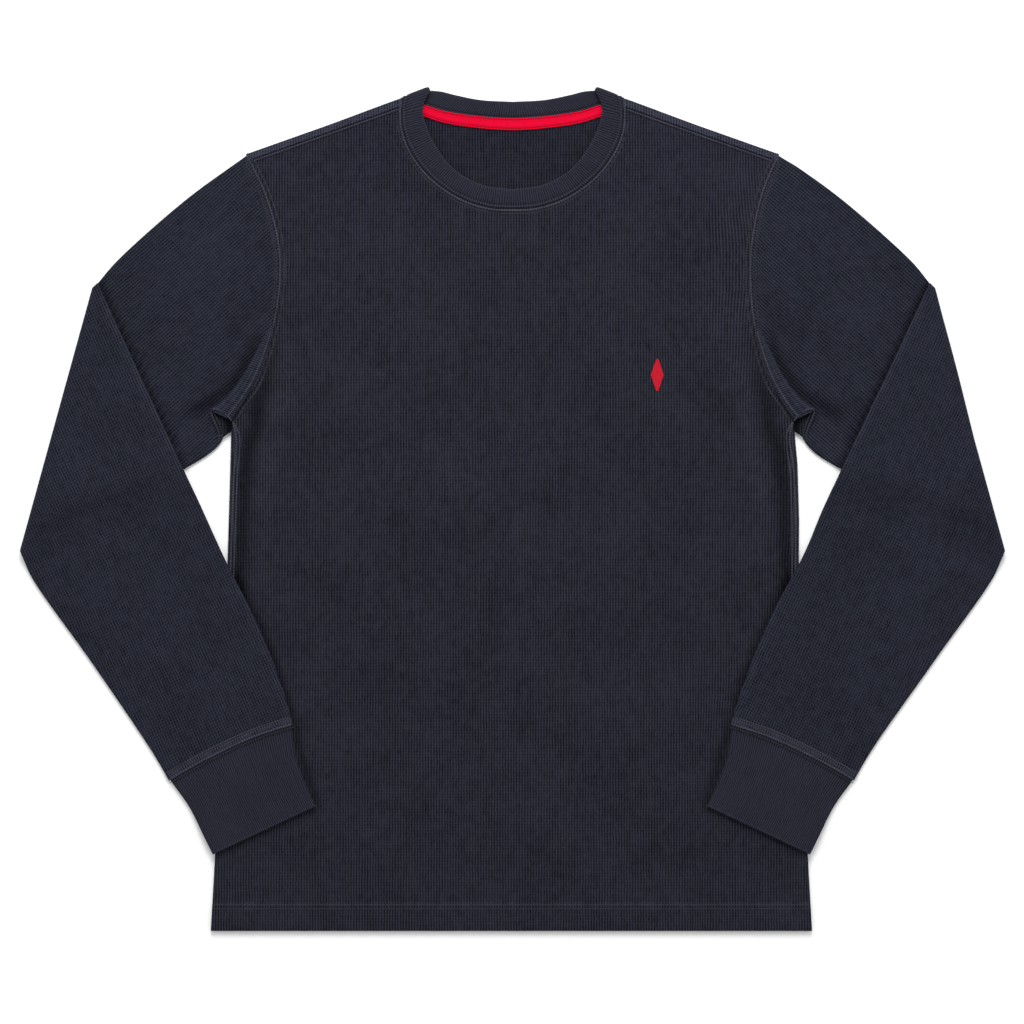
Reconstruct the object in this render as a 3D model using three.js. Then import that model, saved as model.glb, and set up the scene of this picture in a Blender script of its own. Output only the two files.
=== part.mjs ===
// A long-sleeved waffle-knit thermal top, laid flat on its back with both sleeves folded over at the elbow.
// Units are millimetres. +X is the viewer's right, +Y runs from hem to neck and +Z is up from the surface.
// The origin is on the surface, under the middle of the garment. "Out" is the distance from the centre line.
import * as THREE from "three";

// Cloth walls and the room between them
const CLOTH = 1.4;
const GAP = 0.3;
const SEAM_GAP = 0.35;
const CUFF_CLOTH = 1.8;
const BAND_THICK = 2.4;
const TAPE_THICK = 1.0;
const TUBE_THICK = 2 * CLOTH + GAP;
const CUFF_THICK = 2 * CUFF_CLOTH + GAP;

// Body
const HEM_Y = -366.7;
const HEM_OUT = 262.5;
const HEM_DEPTH = 22;
const HEM_STEP = 6;
const HEM_EXTRA = 0.6;
const SIDE_BOW = 2;
const YOKE_HEM_OUT = 216;
const NECK_COLUMN_OUT = 118;
const EDGE_THIN = 0.35;

// Neck
const SHOULDER_AXIS = { outer: { out: 231.5, y: 307.8 }, inner: { out: 97, y: 355.4 } };
const NECK_RISE = 1.7;
const NECK_RISE_REACH = 75;
const BAND_RISE = 2.3;
const BAND_FOLD = { seam: { out: 96.5, y: 355.6 }, free: { out: 71.5, y: 364.6 } };
const TAPE = { end: 0.05, above: 2, step: 3.5, below: 8.3 };

// Sleeve
const ELBOW_AXIS = { top: { out: 360.8, y: 197 }, foot: { out: 426.3, y: -41 } };
const ELBOW_AXIS_Z = TUBE_THICK + 0.4;
const ELBOW_CORNER = 5;
const FOREARM_ON_BODY = 3.5;
const FOREARM_ON_ARM = 2 * ELBOW_AXIS_Z - TUBE_THICK;
const ARM_CREASE = { out: 286, y: 33 };
const DRAPE_START = 10;
const DRAPE_RUN = 45;
const UNDERARM_GRIP = 12;
const TUCK_HEIGHT = 5;
const CUFF_INSET = 1.2;

// Raised ribs on the upper faces of the cuffs and the neckband. Each one stands for two knitted ribs.
const RIB_DEPTH = 0.35;
const CUFF_RIBS = 28;
const CUFF_RIB_MARGIN = 0.03;
const BAND_FRONT_RIBS = 36;
const BAND_BACK_RIBS = 24;

// The armhole seam from the shoulder fold down to the underarm
const ARMHOLE = [
  { out: 231.5, y: 307.8 },
  { out: 215, y: 272 },
  { out: 204.6, y: 233 },
  { out: 203.4, y: 195 },
  { out: 211, y: 151 },
  { out: 224, y: 111 },
  { out: 239.5, y: 88.5 },
  { out: 244.5, y: 78.5 },
];

// The front neck seam from the shoulder seam down to the centre front
const NECK_FRONT = [
  { out: 96.7, y: 347 },
  { out: 95.6, y: 331 },
  { out: 89.2, y: 312.8 },
  { out: 72.5, y: 290 },
  { out: 46.7, y: 271.4 },
  { out: 21, y: 262.6 },
  { out: 0, y: 261.3 },
];

// The back neck seam from the shoulder fold to the centre back
const NECK_BACK = [
  { out: 97, y: 355.4 },
  { out: 78, y: 350.5 },
  { out: 60.5, y: 345 },
  { out: 37, y: 341 },
  { out: 0, y: 338.3 },
];

// The neckband's folded edge, from the centre front to its fold at the side, and on to the centre back
const BAND_FREE_FRONT = [
  { out: 0, y: 278.7 },
  { out: 26, y: 282.5 },
  { out: 50, y: 295.5 },
  { out: 65.5, y: 314.5 },
  { out: 74.5, y: 333 },
  { out: 77.9, y: 349 },
  { out: BAND_FOLD.free.out, y: BAND_FOLD.free.y },
];
const BAND_FREE_BACK = [
  { out: BAND_FOLD.free.out, y: BAND_FOLD.free.y },
  { out: 52, y: 360.5 },
  { out: 28, y: 356 },
  { out: 0, y: 354.7 },
];

// Sleeve edges: the upper arm's shoulder edge and underarm edge, then the forearm's inner and outer edges
const ARM_TOP = [
  { out: 231.5, y: 307.8 },
  { out: 285, y: 269 },
  { out: 345, y: 215.5 },
  { out: ELBOW_AXIS.top.out, y: ELBOW_AXIS.top.y },
];
const ARM_UNDER = [
  { out: 244.5, y: 78.5 },
  { out: 248.5, y: 69.8 },
  { out: 256.5, y: 55 },
  { out: 286, y: 35 },
  { out: 355, y: 3.5 },
  { out: 412, y: -21 },
  { out: ELBOW_AXIS.foot.out, y: ELBOW_AXIS.foot.y },
];
const FOREARM_INNER = [
  { out: ELBOW_AXIS.top.out, y: ELBOW_AXIS.top.y },
  { out: 332, y: 134.5 },
  { out: 286, y: 35 },
  { out: 246, y: -51.5 },
  { out: 218.8, y: -105.7 },
  { out: 198.5, y: -160 },
  { out: 191, y: -187 },
];
const FOREARM_OUTER = [
  { out: ELBOW_AXIS.foot.out, y: ELBOW_AXIS.foot.y },
  { out: 418.5, y: -59 },
  { out: 365, y: -135 },
  { out: 312, y: -213.5 },
  { out: 299, y: -236 },
];

// The cuff seam from the inner side to the outer side, and the cuff's two edges from the seam to the end
const CUFF_SEAM = [
  { out: 191, y: -187 },
  { out: 225.5, y: -198.5 },
  { out: 266, y: -217.5 },
  { out: 299, y: -236 },
];
const CUFF_INNER = [
  { out: 188.5, y: -214.5 },
  { out: 178, y: -243.5 },
  { out: 170.8, y: -258 },
];
const CUFF_OUTER = [
  { out: 281.5, y: -258.5 },
  { out: 268.5, y: -284 },
  { out: 260.5, y: -300 },
];

// Where grid lines fall, as shares of each length
const ACROSS = [0, 0.033, 0.13, 0.22, 0.31, 0.4, 0.52, 0.63, 0.73, 0.82, 0.89, 0.95, 1];
const YOKE_CORNER = 5;
const ARM_STATIONS = [0, 0.03, 0.06, 0.085, 0.105, 0.135, 0.19, 0.3, 0.45, 0.62, 0.81, 1];
const FOREARM_STATIONS = [0, 0.06, 0.14, 0.23, 0.32, 0.42, 0.53, 0.65, 0.77, 0.89, 1];
const CUFF_STATIONS = [0, 0.33, 0.66, 1];
const HEM_ROWS = [0, HEM_DEPTH, HEM_DEPTH + HEM_STEP / 2, HEM_DEPTH + HEM_STEP];
const PANEL_ROWS = [0.26, 0.52, 0.77, 1];
const SHOULDER_COLUMNS = 4;
const NECK_COLUMNS = 24;
const ROLL_STEPS = 6;
const TAPE_COLUMNS = 22;

const lerp = THREE.MathUtils.lerp;
const smooth = (value) => THREE.MathUtils.smoothstep(value, 0, 1);
const mix = (a, b, share) => ({ x: lerp(a.x, b.x, share), y: lerp(a.y, b.y, share) });
const shares = (count) => Array.from({ length: count + 1 }, (_, i) => i / count);

// A smooth curve through points, read by its share of length.
function curveThrough(points) {
  const places = points.map(({ x, y }) => new THREE.Vector3(x, y, 0));
  const curve = new THREE.CatmullRomCurve3(places, false, "centripetal");
  return (share) => curve.getPointAt(THREE.MathUtils.clamp(share, 0, 1));
}

// Table rows as points on one side of the centre line.
const onSide = (rows, side) => rows.map(({ out, y }) => ({ x: side * out, y }));
const curveOf = (rows, side) => curveThrough(onSide(rows, side));

// Straight lines between fixed points, so that both pieces at a seam follow the same corners.
function polyline(points) {
  const run = [0];
  for (let i = 1; i < points.length; i++) {
    run.push(run[i - 1] + Math.hypot(points[i].x - points[i - 1].x, points[i].y - points[i - 1].y));
  }
  const length = run[run.length - 1];
  const at = (distance) => {
    const wanted = THREE.MathUtils.clamp(distance, 0, length);
    let i = 1;
    while (i < points.length - 1 && run[i] < wanted) i++;
    return mix(points[i - 1], points[i], (wanted - run[i - 1]) / (run[i] - run[i - 1]));
  };
  return { length, at };
}

// A full curve across the garment, from the left side to the right side.
function acrossGarment(rows) {
  const left = rows.map((row) => ({ out: -row.out, y: row.y }));
  const right = rows.slice(0, -1).reverse();
  return curveOf([...left, ...right], 1);
}

// The body's half width at a height, from underarm to hem.
function sideOut(y) {
  const underarm = ARMHOLE[ARMHOLE.length - 1];
  const down = THREE.MathUtils.clamp((underarm.y - y) / (underarm.y - HEM_Y), 0, 1);
  return lerp(underarm.out, HEM_OUT, down) - SIDE_BOW * 4 * down * (1 - down);
}

// Extra thickness of the turned-up hem.
function hemExtra(y) {
  const above = y - (HEM_Y + HEM_DEPTH);
  return HEM_EXTRA * (1 - smooth(above / HEM_STEP));
}

// Height of the front layer's underside: it lies on the back layer, and rises over the stacked seams at the neck.
function frontBase(x, y) {
  const away = Math.hypot(Math.abs(x) - SHOULDER_AXIS.inner.out, y - SHOULDER_AXIS.inner.y);
  return CLOTH + hemExtra(y) + GAP + NECK_RISE * (1 - smooth(away / NECK_RISE_REACH));
}

// Height that the folded-over forearm rests at: on the upper arm, on the body, or on the surface between them.
function forearmBase(x, y) {
  const out = Math.abs(x);
  const foot = ELBOW_AXIS.foot;
  const run = { out: ARM_CREASE.out - foot.out, y: ARM_CREASE.y - foot.y };
  const belowArm = ((y - foot.y) * run.out - (out - foot.out) * run.y) / Math.hypot(run.out, run.y);
  const beyondBody = out - sideOut(y);
  const held = (distance) => 1 - smooth((distance - DRAPE_START) / DRAPE_RUN);
  return Math.max(FOREARM_ON_ARM * held(belowArm), FOREARM_ON_BODY * held(beyondBody));
}

// Joins triangles into one closed, outward-facing geometry.
function geometryOf(points, triangles) {
  let volume = 0;
  for (const [a, b, c] of triangles) {
    volume += points[a].clone().cross(points[b]).dot(points[c]);
  }
  const facing = volume < 0 ? triangles.map(([a, b, c]) => [a, c, b]) : triangles;
  const geometry = new THREE.BufferGeometry().setFromPoints(points);
  geometry.setIndex(facing.flat());
  geometry.computeVertexNormals();
  return geometry;
}

// A cloth wall from grids of {outer, inner} points. Grids that share points are joined, and open edges get a rim.
function wallOf(grids) {
  const points = [];
  const places = new Map();
  const place = ({ outer, inner }) => {
    const key = [outer.x, outer.y, outer.z].map((value) => value.toFixed(3)).join();
    if (!places.has(key)) {
      places.set(key, points.length / 2);
      points.push(outer, inner);
    }
    return places.get(key);
  };
  const faces = [];
  for (const grid of grids) {
    for (let i = 1; i < grid.length; i++) {
      for (let j = 1; j < grid[i].length; j++) {
        const a = place(grid[i - 1][j - 1]);
        const b = place(grid[i][j - 1]);
        const c = place(grid[i][j]);
        const d = place(grid[i - 1][j]);
        faces.push([a, b, c], [a, c, d]);
      }
    }
  }
  const edges = new Set(faces.flatMap(([a, b, c]) => [`${a},${b}`, `${b},${c}`, `${c},${a}`]));
  const triangles = [];
  for (const [a, b, c] of faces) {
    triangles.push([2 * a, 2 * b, 2 * c], [2 * a + 1, 2 * c + 1, 2 * b + 1]);
  }
  for (const edge of edges) {
    const [a, b] = edge.split(",").map(Number);
    if (edges.has(`${b},${a}`)) continue;
    triangles.push([2 * b, 2 * a, 2 * a + 1], [2 * b, 2 * a + 1, 2 * b + 1]);
  }
  return geometryOf(points, triangles);
}

// A closed ring swept through closed sections that each have the same number of points.
function ringOf(sections) {
  const count = sections[0].length;
  const triangles = [];
  for (let i = 0; i < sections.length; i++) {
    const next = (i + 1) % sections.length;
    for (let j = 0; j < count; j++) {
      const k = (j + 1) % count;
      const corners = [i * count + j, next * count + j, next * count + k, i * count + k];
      triangles.push([corners[0], corners[1], corners[2]], [corners[0], corners[2], corners[3]]);
    }
  }
  return geometryOf(sections.flat(), triangles);
}

// The armhole's corners, shared by the panels and the sleeve.
function armholeCorners(side) {
  const curve = curveOf(ARMHOLE, side);
  return ACROSS.map((share) => curve(share));
}

// A patch between four edges that meet at its corners. The near and far edges are joined by straight lines, which
// the left and right edges then pull sideways. A higher grip keeps the right edge's pull close to that edge.
function patch(near, far, left, right, along, across, grip = 1) {
  const point = mix(near(across), far(across), along);
  const leftLine = mix(near(0), far(0), along);
  const rightLine = mix(near(1), far(1), along);
  const leftPull = 1 - across;
  const rightPull = across ** grip;
  return {
    x: point.x + leftPull * (left(along).x - leftLine.x) + rightPull * (right(along).x - rightLine.x),
    y: point.y + leftPull * (left(along).y - leftLine.y) + rightPull * (right(along).y - rightLine.y),
  };
}

// Columns of a body panel: where each one meets the hem, and the top of the lower part.
function panelColumns() {
  const columns = [];
  const corners = armholeCorners(-1).slice(YOKE_CORNER).reverse();
  const edge = polyline(corners);
  const insets = [0, 0.5, 1.6].map((inset) => ({ hem: -HEM_OUT + inset, top: edge.at(inset), inset }));
  columns.push(...insets);
  corners.slice(1).forEach((corner, i) => {
    const hem = lerp(-HEM_OUT, -YOKE_HEM_OUT, (i + 1) / (corners.length - 1));
    columns.push({ hem, top: corner, inset: Infinity });
  });
  const yoke = corners[corners.length - 1];
  const outs = [
    ...shares(SHOULDER_COLUMNS).slice(1).map((share) => lerp(-yoke.x, NECK_COLUMN_OUT, share)),
    ...shares(NECK_COLUMNS / 2).slice(1).map((share) => lerp(NECK_COLUMN_OUT, 0, share)),
  ];
  const middle = outs.map((out) => ({
    hem: -out * (YOKE_HEM_OUT / -yoke.x),
    top: { x: -out, y: yoke.y },
    inset: Infinity,
  }));
  columns.push(...middle);
  const mirrored = columns.slice(0, -1).reverse().map((column) => ({
    hem: -column.hem,
    top: { x: -column.top.x, y: column.top.y },
    inset: column.inset,
  }));
  return [...columns, ...mirrored];
}

// A rounded side edge: how much of the wall is left at an inset from the edge.
function edgeShare(inset) {
  const round = Math.min(inset / 1.6, 1);
  return EDGE_THIN + (1 - EDGE_THIN) * Math.sqrt(1 - (1 - round) ** 2);
}

// The lower part of a panel, from the hem up to the armholes and the yoke line.
function lowerPanel(wallAt) {
  return panelColumns().map(({ hem, top, inset }) => {
    const hemTop = HEM_Y + HEM_ROWS.at(-1);
    const heights = [
      ...HEM_ROWS.map((row) => HEM_Y + row),
      ...PANEL_ROWS.map((share) => lerp(hemTop, top.y, share)),
    ];
    return heights.map((y) => {
      const share = (y - HEM_Y) / (top.y - HEM_Y);
      const x = lerp(hem, top.x, share);
      const bow = SIDE_BOW * 4 * share * (1 - share) * (x / HEM_OUT);
      return wallAt(x - bow, y, edgeShare(inset));
    });
  });
}

// The upper part of a panel, from the yoke line to the shoulders and the neck.
function upperPanel(wallAt, firstCorner, topEdge) {
  const left = armholeCorners(-1).slice(firstCorner, YOKE_CORNER + 1).reverse();
  const columns = panelColumns();
  const first = columns.findIndex(({ top }) => top.x === left[0].x && top.y === left[0].y);
  const yoke = columns.slice(first, columns.length - first).map(({ top }) => top);
  const rows = left.length - 1;
  const near = (share) => yoke[Math.round(share * (yoke.length - 1))];
  const far = (share) => topEdge[Math.round(share * (topEdge.length - 1))];
  const leftEdge = (share) => left[Math.round(share * rows)];
  const rightEdge = (share) => ({ x: -leftEdge(share).x, y: leftEdge(share).y });
  return shares(yoke.length - 1).map((across) =>
    shares(rows).map((along) => {
      const point = patch(near, far, leftEdge, rightEdge, along, across);
      return wallAt(point.x, point.y, 1);
    }),
  );
}

// The points of a panel's top edge: along one shoulder, round the neck and along the other shoulder.
function topEdgeOf(shoulderStart, shoulderEnd, neck) {
  const shoulder = shares(SHOULDER_COLUMNS).map((share) => mix(shoulderStart, shoulderEnd, share));
  const right = shoulder.map(({ x, y }) => ({ x: -x, y })).reverse();
  return [...shoulder.slice(0, -1), ...neck, ...right.slice(1)];
}

const neckFrontCurve = acrossGarment(NECK_FRONT);
const neckBackCurve = acrossGarment(NECK_BACK);
const neckFrontCorners = shares(NECK_COLUMNS).map((share) => neckFrontCurve(share));
const neckBackCorners = shares(NECK_COLUMNS).map((share) => neckBackCurve(share));

function frontPanel() {
  const wallAt = (x, y, share) => {
    const base = frontBase(x, y);
    const thick = (CLOTH + hemExtra(y)) * share;
    return { outer: new THREE.Vector3(x, y, base + thick), inner: new THREE.Vector3(x, y, base) };
  };
  const seamStart = armholeCorners(-1)[1];
  const topEdge = topEdgeOf(seamStart, neckFrontCorners[0], neckFrontCorners);
  return wallOf([lowerPanel(wallAt), upperPanel(wallAt, 1, topEdge)]);
}

// The back panel's shoulder flange: it rolls over the shoulder edge and lies on top, as far as the forward seam.
function shoulderFlange(side) {
  const axisStart = { x: side * SHOULDER_AXIS.outer.out, y: SHOULDER_AXIS.outer.y };
  const axisEnd = { x: side * SHOULDER_AXIS.inner.out, y: SHOULDER_AXIS.inner.y };
  const length = Math.hypot(axisEnd.x - axisStart.x, axisEnd.y - axisStart.y);
  const outward = {
    x: -(axisEnd.y - axisStart.y) / length * -side,
    y: Math.abs(axisEnd.x - axisStart.x) / length,
  };
  const seamStart = armholeCorners(side)[1];
  const seamEnd = { x: side * NECK_FRONT[0].out, y: NECK_FRONT[0].y };
  return shares(SHOULDER_COLUMNS).map((share) => {
    const axis = mix(axisStart, axisEnd, share);
    const seam = mix(seamStart, seamEnd, share);
    const seamLength = Math.hypot(seam.x - axis.x, seam.y - axis.y);
    const strip = mix(axis, seam, 1 - SEAM_GAP / seamLength);
    const top = frontBase(axis.x, axis.y) + CLOTH;
    const roll = shares(ROLL_STEPS).map((turn) => {
      const angle = Math.PI * turn;
      const point = (radius) => new THREE.Vector3(
        axis.x + outward.x * radius * Math.sin(angle),
        axis.y + outward.y * radius * Math.sin(angle),
        top / 2 - radius * Math.cos(angle),
      );
      return { outer: point(top / 2), inner: point(top / 2 - CLOTH) };
    });
    const end = {
      outer: new THREE.Vector3(strip.x, strip.y, frontBase(strip.x, strip.y) + CLOTH),
      inner: new THREE.Vector3(strip.x, strip.y, frontBase(strip.x, strip.y)),
    };
    return [...roll, end];
  });
}

function backPanel() {
  const wallAt = (x, y, share) => {
    const top = CLOTH + hemExtra(y);
    return { outer: new THREE.Vector3(x, y, top * (1 - share)), inner: new THREE.Vector3(x, y, top) };
  };
  const shoulderStart = { x: -SHOULDER_AXIS.outer.out, y: SHOULDER_AXIS.outer.y };
  const shoulderEnd = { x: -SHOULDER_AXIS.inner.out, y: SHOULDER_AXIS.inner.y };
  const topEdge = topEdgeOf(shoulderStart, shoulderEnd, neckBackCorners);
  const flanges = [shoulderFlange(-1), shoulderFlange(1).reverse()];
  return wallOf([lowerPanel(wallAt), upperPanel(wallAt, 0, topEdge), ...flanges]);
}

// The flat part of a tube's upper layer, plain or ribbed. Outer points sink between ribs.
const plainLayer = ACROSS.slice(1, -1).map((share) => ({ share, sink: 0 }));
const ribbedLayer = shares(2 * CUFF_RIBS).map((step, i) => ({
  share: lerp(CUFF_RIB_MARGIN, 1 - CUFF_RIB_MARGIN, step),
  sink: i % 2 === 0 ? RIB_DEPTH : 0,
}));

// Points round a flattened tube: along the top layer, round an edge, back along the other layer, round the other edge.
// Each has its share across, its inset from the near edge and its level from 0, underneath, to 1, on top.
function tubeLoop(topLayer) {
  const turn = [90, 30, -30, -90].map((angle) => THREE.MathUtils.degToRad(angle));
  const edge = (end, angles) => angles.map((angle) => ({
    end,
    inset: 1 - Math.cos(angle),
    level: (1 + Math.sin(angle)) / 2,
    sink: 0,
  }));
  return [
    ...topLayer.map(({ share, sink }) => ({ share, level: 1, sink })),
    ...edge(1, turn),
    ...[...plainLayer].reverse().map(({ share }) => ({ share, level: 0, sink: 0 })),
    ...edge(0, [...turn].reverse()),
  ];
}

// One station of a flattened tube. at(share, height) places a point at a share across and a height in the tube.
function tubeStation(width, thick, cloth, at, topLayer = plainLayer) {
  const radius = thick / 2;
  const station = tubeLoop(topLayer).map(({ share, end, inset, level, sink }) => {
    const shareAt = (reach) => {
      if (end === undefined) return share;
      const inside = (radius - reach + reach * inset) / width;
      return end === 1 ? 1 - inside : inside;
    };
    return {
      outer: at(shareAt(radius), radius + radius * (2 * level - 1) - sink),
      inner: at(shareAt(radius - cloth), radius + (radius - cloth) * (2 * level - 1)),
    };
  });
  return [...station, station[0]];
}

// The underarm tuck: the sleeve's top layer stands up beside the armhole seam and drops away beyond it.
function tuckLift(along, across) {
  const climb = smooth(along / 0.085);
  const drop = 1 - smooth((along - 0.098) / 0.037);
  const fade = smooth((across - 0.62) / 0.24);
  return TUCK_HEIGHT * climb * drop * fade;
}

// A curve across the tube at the armhole, moved off the seam by the seam gap.
function armholeSeam(side) {
  const corners = armholeCorners(side).map(({ x, y }) => ({ x: x + side * SEAM_GAP, y }));
  return (share) => {
    let i = 1;
    while (i < ACROSS.length - 1 && ACROSS[i] < share) i++;
    return mix(corners[i - 1], corners[i], (share - ACROSS[i - 1]) / (ACROSS[i] - ACROSS[i - 1]));
  };
}

function sleeve(side) {
  const armhole = armholeSeam(side);
  const top = curveThrough([armhole(0), ...onSide(ARM_TOP.slice(1), side)]);
  const under = curveThrough([armhole(1), ...onSide(ARM_UNDER.slice(1), side)]);
  const inner = curveOf(FOREARM_INNER, side);
  const outer = curveOf(FOREARM_OUTER, side);
  const cuffSeam = curveOf(CUFF_SEAM, side);
  const axisTop = { x: side * ELBOW_AXIS.top.out, y: ELBOW_AXIS.top.y };
  const axisFoot = { x: side * ELBOW_AXIS.foot.out, y: ELBOW_AXIS.foot.y };
  const axisLength = Math.hypot(axisFoot.x - axisTop.x, axisFoot.y - axisTop.y);
  const axis = (share) => mix(axisTop, axisFoot, share);
  const outward = {
    x: side * (axisTop.y - axisFoot.y) / axisLength,
    y: Math.abs(axisFoot.x - axisTop.x) / axisLength,
  };
  const grid = [];
  for (const along of ARM_STATIONS) {
    const width = Math.hypot(top(along).x - under(along).x, top(along).y - under(along).y);
    grid.push(tubeStation(width, TUBE_THICK, CLOTH, (share, height) => {
      const point = patch(armhole, axis, top, under, along, share, UNDERARM_GRIP);
      const lift = tuckLift(along, share) * (height / TUBE_THICK);
      return new THREE.Vector3(point.x, point.y, height + lift);
    }));
  }
  for (const turn of shares(ROLL_STEPS).slice(1, -1)) {
    const angle = Math.PI * turn;
    const corner = ELBOW_CORNER * Math.sin(angle) / axisLength;
    grid.push(tubeStation(axisLength, TUBE_THICK, CLOTH, (share, height) => {
      const point = axis(lerp(corner, 1 - corner, share));
      const radius = ELBOW_AXIS_Z - height;
      return new THREE.Vector3(
        point.x + outward.x * radius * Math.sin(angle),
        point.y + outward.y * radius * Math.sin(angle),
        ELBOW_AXIS_Z - radius * Math.cos(angle),
      );
    }));
  }
  for (const along of FOREARM_STATIONS) {
    const width = Math.hypot(inner(along).x - outer(along).x, inner(along).y - outer(along).y);
    grid.push(tubeStation(width, TUBE_THICK, CLOTH, (share, height) => {
      const point = patch(axis, cuffSeam, inner, outer, along, share);
      return new THREE.Vector3(point.x, point.y, forearmBase(point.x, point.y) + TUBE_THICK - height);
    }));
  }
  return wallOf([grid]);
}

function cuff(side) {
  const seam = curveOf(CUFF_SEAM, side);
  const end = onSide([CUFF_INNER.at(-1), CUFF_OUTER.at(-1)], side);
  const endMiddle = mix(end[0], end[1], 0.5);
  const drop = { x: endMiddle.x - seam(0.5).x, y: endMiddle.y - seam(0.5).y };
  const dropLength = Math.hypot(drop.x, drop.y);
  const inset = CUFF_INSET / Math.hypot(seam(1).x - seam(0).x, seam(1).y - seam(0).y);
  const near = (share) => {
    const point = seam(lerp(inset, 1 - inset, share));
    return { x: point.x + drop.x * SEAM_GAP / dropLength, y: point.y + drop.y * SEAM_GAP / dropLength };
  };
  const far = (share) => mix(end[0], end[1], share);
  const inner = curveThrough([near(0), ...onSide(CUFF_INNER, side)]);
  const outer = curveThrough([near(1), ...onSide(CUFF_OUTER, side)]);
  const grid = CUFF_STATIONS.map((along) => {
    const width = Math.hypot(inner(along).x - outer(along).x, inner(along).y - outer(along).y);
    const at = (share, height) => {
      const point = patch(near, far, inner, outer, along, share);
      return new THREE.Vector3(point.x, point.y, forearmBase(point.x, point.y) + height);
    };
    return tubeStation(width, CUFF_THICK, CUFF_CLOTH, at, ribbedLayer);
  });
  return wallOf([grid]);
}

// One section of the neckband, from its seam edge to its folded edge. tilt turns its outer face from up to down, and
// the face that can be seen sinks between ribs: the outer one in front and at the fold, the inner one at the back.
function bandSection(seam, free, z, tilt, outward, sink) {
  const half = BAND_THICK / 2;
  const width = Math.hypot(free.x - seam.x, free.y - seam.y);
  const start = SEAM_GAP / width;
  const round = half / width;
  const face = { x: outward.x * Math.sin(tilt), y: outward.y * Math.sin(tilt), z: Math.cos(tilt) };
  const ribbedFace = tilt < Math.PI ? 1 : -1;
  const outline = [
    { share: start, level: 1 },
    { share: 1 - round, level: 1 },
    { share: 1 - round * 0.3, level: 0.7 },
    { share: 1, level: 0 },
    { share: 1 - round * 0.3, level: -0.7 },
    { share: 1 - round, level: -1 },
    { share: start, level: -1 },
  ];
  return outline.map(({ share, level }) => {
    const point = mix(seam, free, share);
    const reach = level * (half - (level * ribbedFace > 0 ? sink : 0));
    return new THREE.Vector3(point.x + face.x * reach, point.y + face.y * reach, z + face.z * reach);
  });
}

// Half of the neckband's sections, from the centre front over the side fold to the centre back.
function bandHalf(side) {
  const corners = shares(NECK_COLUMNS / 2).map((share) => neckFrontCurve(0.5 + side * share / 2));
  const foldSeam = { x: side * BAND_FOLD.seam.out, y: BAND_FOLD.seam.y };
  const foldFree = { x: side * BAND_FOLD.free.out, y: BAND_FOLD.free.y };
  const frontSeam = polyline([...corners, foldSeam]);
  const backCorners = shares(NECK_COLUMNS / 2).map((share) => neckBackCurve(0.5 + side * (1 - share) / 2));
  const backSeam = polyline([foldSeam, ...backCorners.slice(1)]);
  const freeFront = curveOf(BAND_FREE_FRONT, side);
  const freeBack = curveOf(BAND_FREE_BACK, side);
  const foldLength = Math.hypot(foldFree.x - foldSeam.x, foldFree.y - foldSeam.y);
  const outward = {
    x: side * (foldFree.y - foldSeam.y) / foldLength,
    y: Math.abs(foldFree.x - foldSeam.x) / foldLength,
  };
  const low = BAND_THICK / 2;
  const high = CLOTH + GAP + BAND_THICK / 2 + BAND_RISE;
  const sections = [];
  const addSection = (seam, free, z, tilt) => {
    const sink = sections.length % 2 === 1 ? RIB_DEPTH : 0;
    sections.push(bandSection(seam, free, z, tilt, outward, sink));
  };
  for (const share of shares(2 * BAND_FRONT_RIBS)) {
    const z = high - BAND_RISE * (1 - smooth((share - 0.35) / 0.55));
    addSection(frontSeam.at(share * frontSeam.length), freeFront(share), z, 0);
  }
  for (const turn of shares(ROLL_STEPS).slice(1, -1)) {
    const angle = Math.PI * turn;
    const radius = (high - low) / 2;
    const shift = ({ x, y }) => ({
      x: x + outward.x * radius * Math.sin(angle),
      y: y + outward.y * radius * Math.sin(angle),
    });
    const z = (high + low) / 2 + radius * Math.cos(angle);
    addSection(shift(foldSeam), shift(foldFree), z, angle);
  }
  for (const share of shares(2 * BAND_BACK_RIBS)) {
    addSection(backSeam.at(share * backSeam.length), freeBack(share), low, Math.PI);
  }
  return sections;
}

function neckband() {
  const left = bandHalf(-1);
  const right = bandHalf(1).slice(1, -1).reverse();
  return ringOf([...left, ...right]);
}

// The tape over the back neck seam: its upper edge is on the band and the rest on the back panel.
function neckTape() {
  const onBand = BAND_THICK + GAP;
  const onPanel = CLOTH + GAP;
  const rows = [
    { up: TAPE.above, z: onBand },
    { up: 0, z: onBand },
    { up: -TAPE.step, z: onPanel },
    { up: -TAPE.below, z: onPanel },
  ];
  const grid = shares(TAPE_COLUMNS).map((share) => {
    const seam = neckBackCurve(lerp(TAPE.end, 1 - TAPE.end, share));
    return rows.map(({ up, z }) => ({
      outer: new THREE.Vector3(seam.x, seam.y + up, z + TAPE_THICK),
      inner: new THREE.Vector3(seam.x, seam.y + up, z),
    }));
  });
  return wallOf([grid]);
}

const waffleKnit = new THREE.MeshStandardMaterial({ color: 0x2a2b36, roughness: 0.92, metalness: 0 });
const ribKnit = new THREE.MeshStandardMaterial({ color: 0x2b2c37, roughness: 0.9, metalness: 0 });
const redTape = new THREE.MeshStandardMaterial({ color: 0xda1032, roughness: 0.75, metalness: 0 });

function piece(name, geometry, material) {
  const mesh = new THREE.Mesh(geometry, material);
  mesh.name = name;
  return mesh;
}

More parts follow.
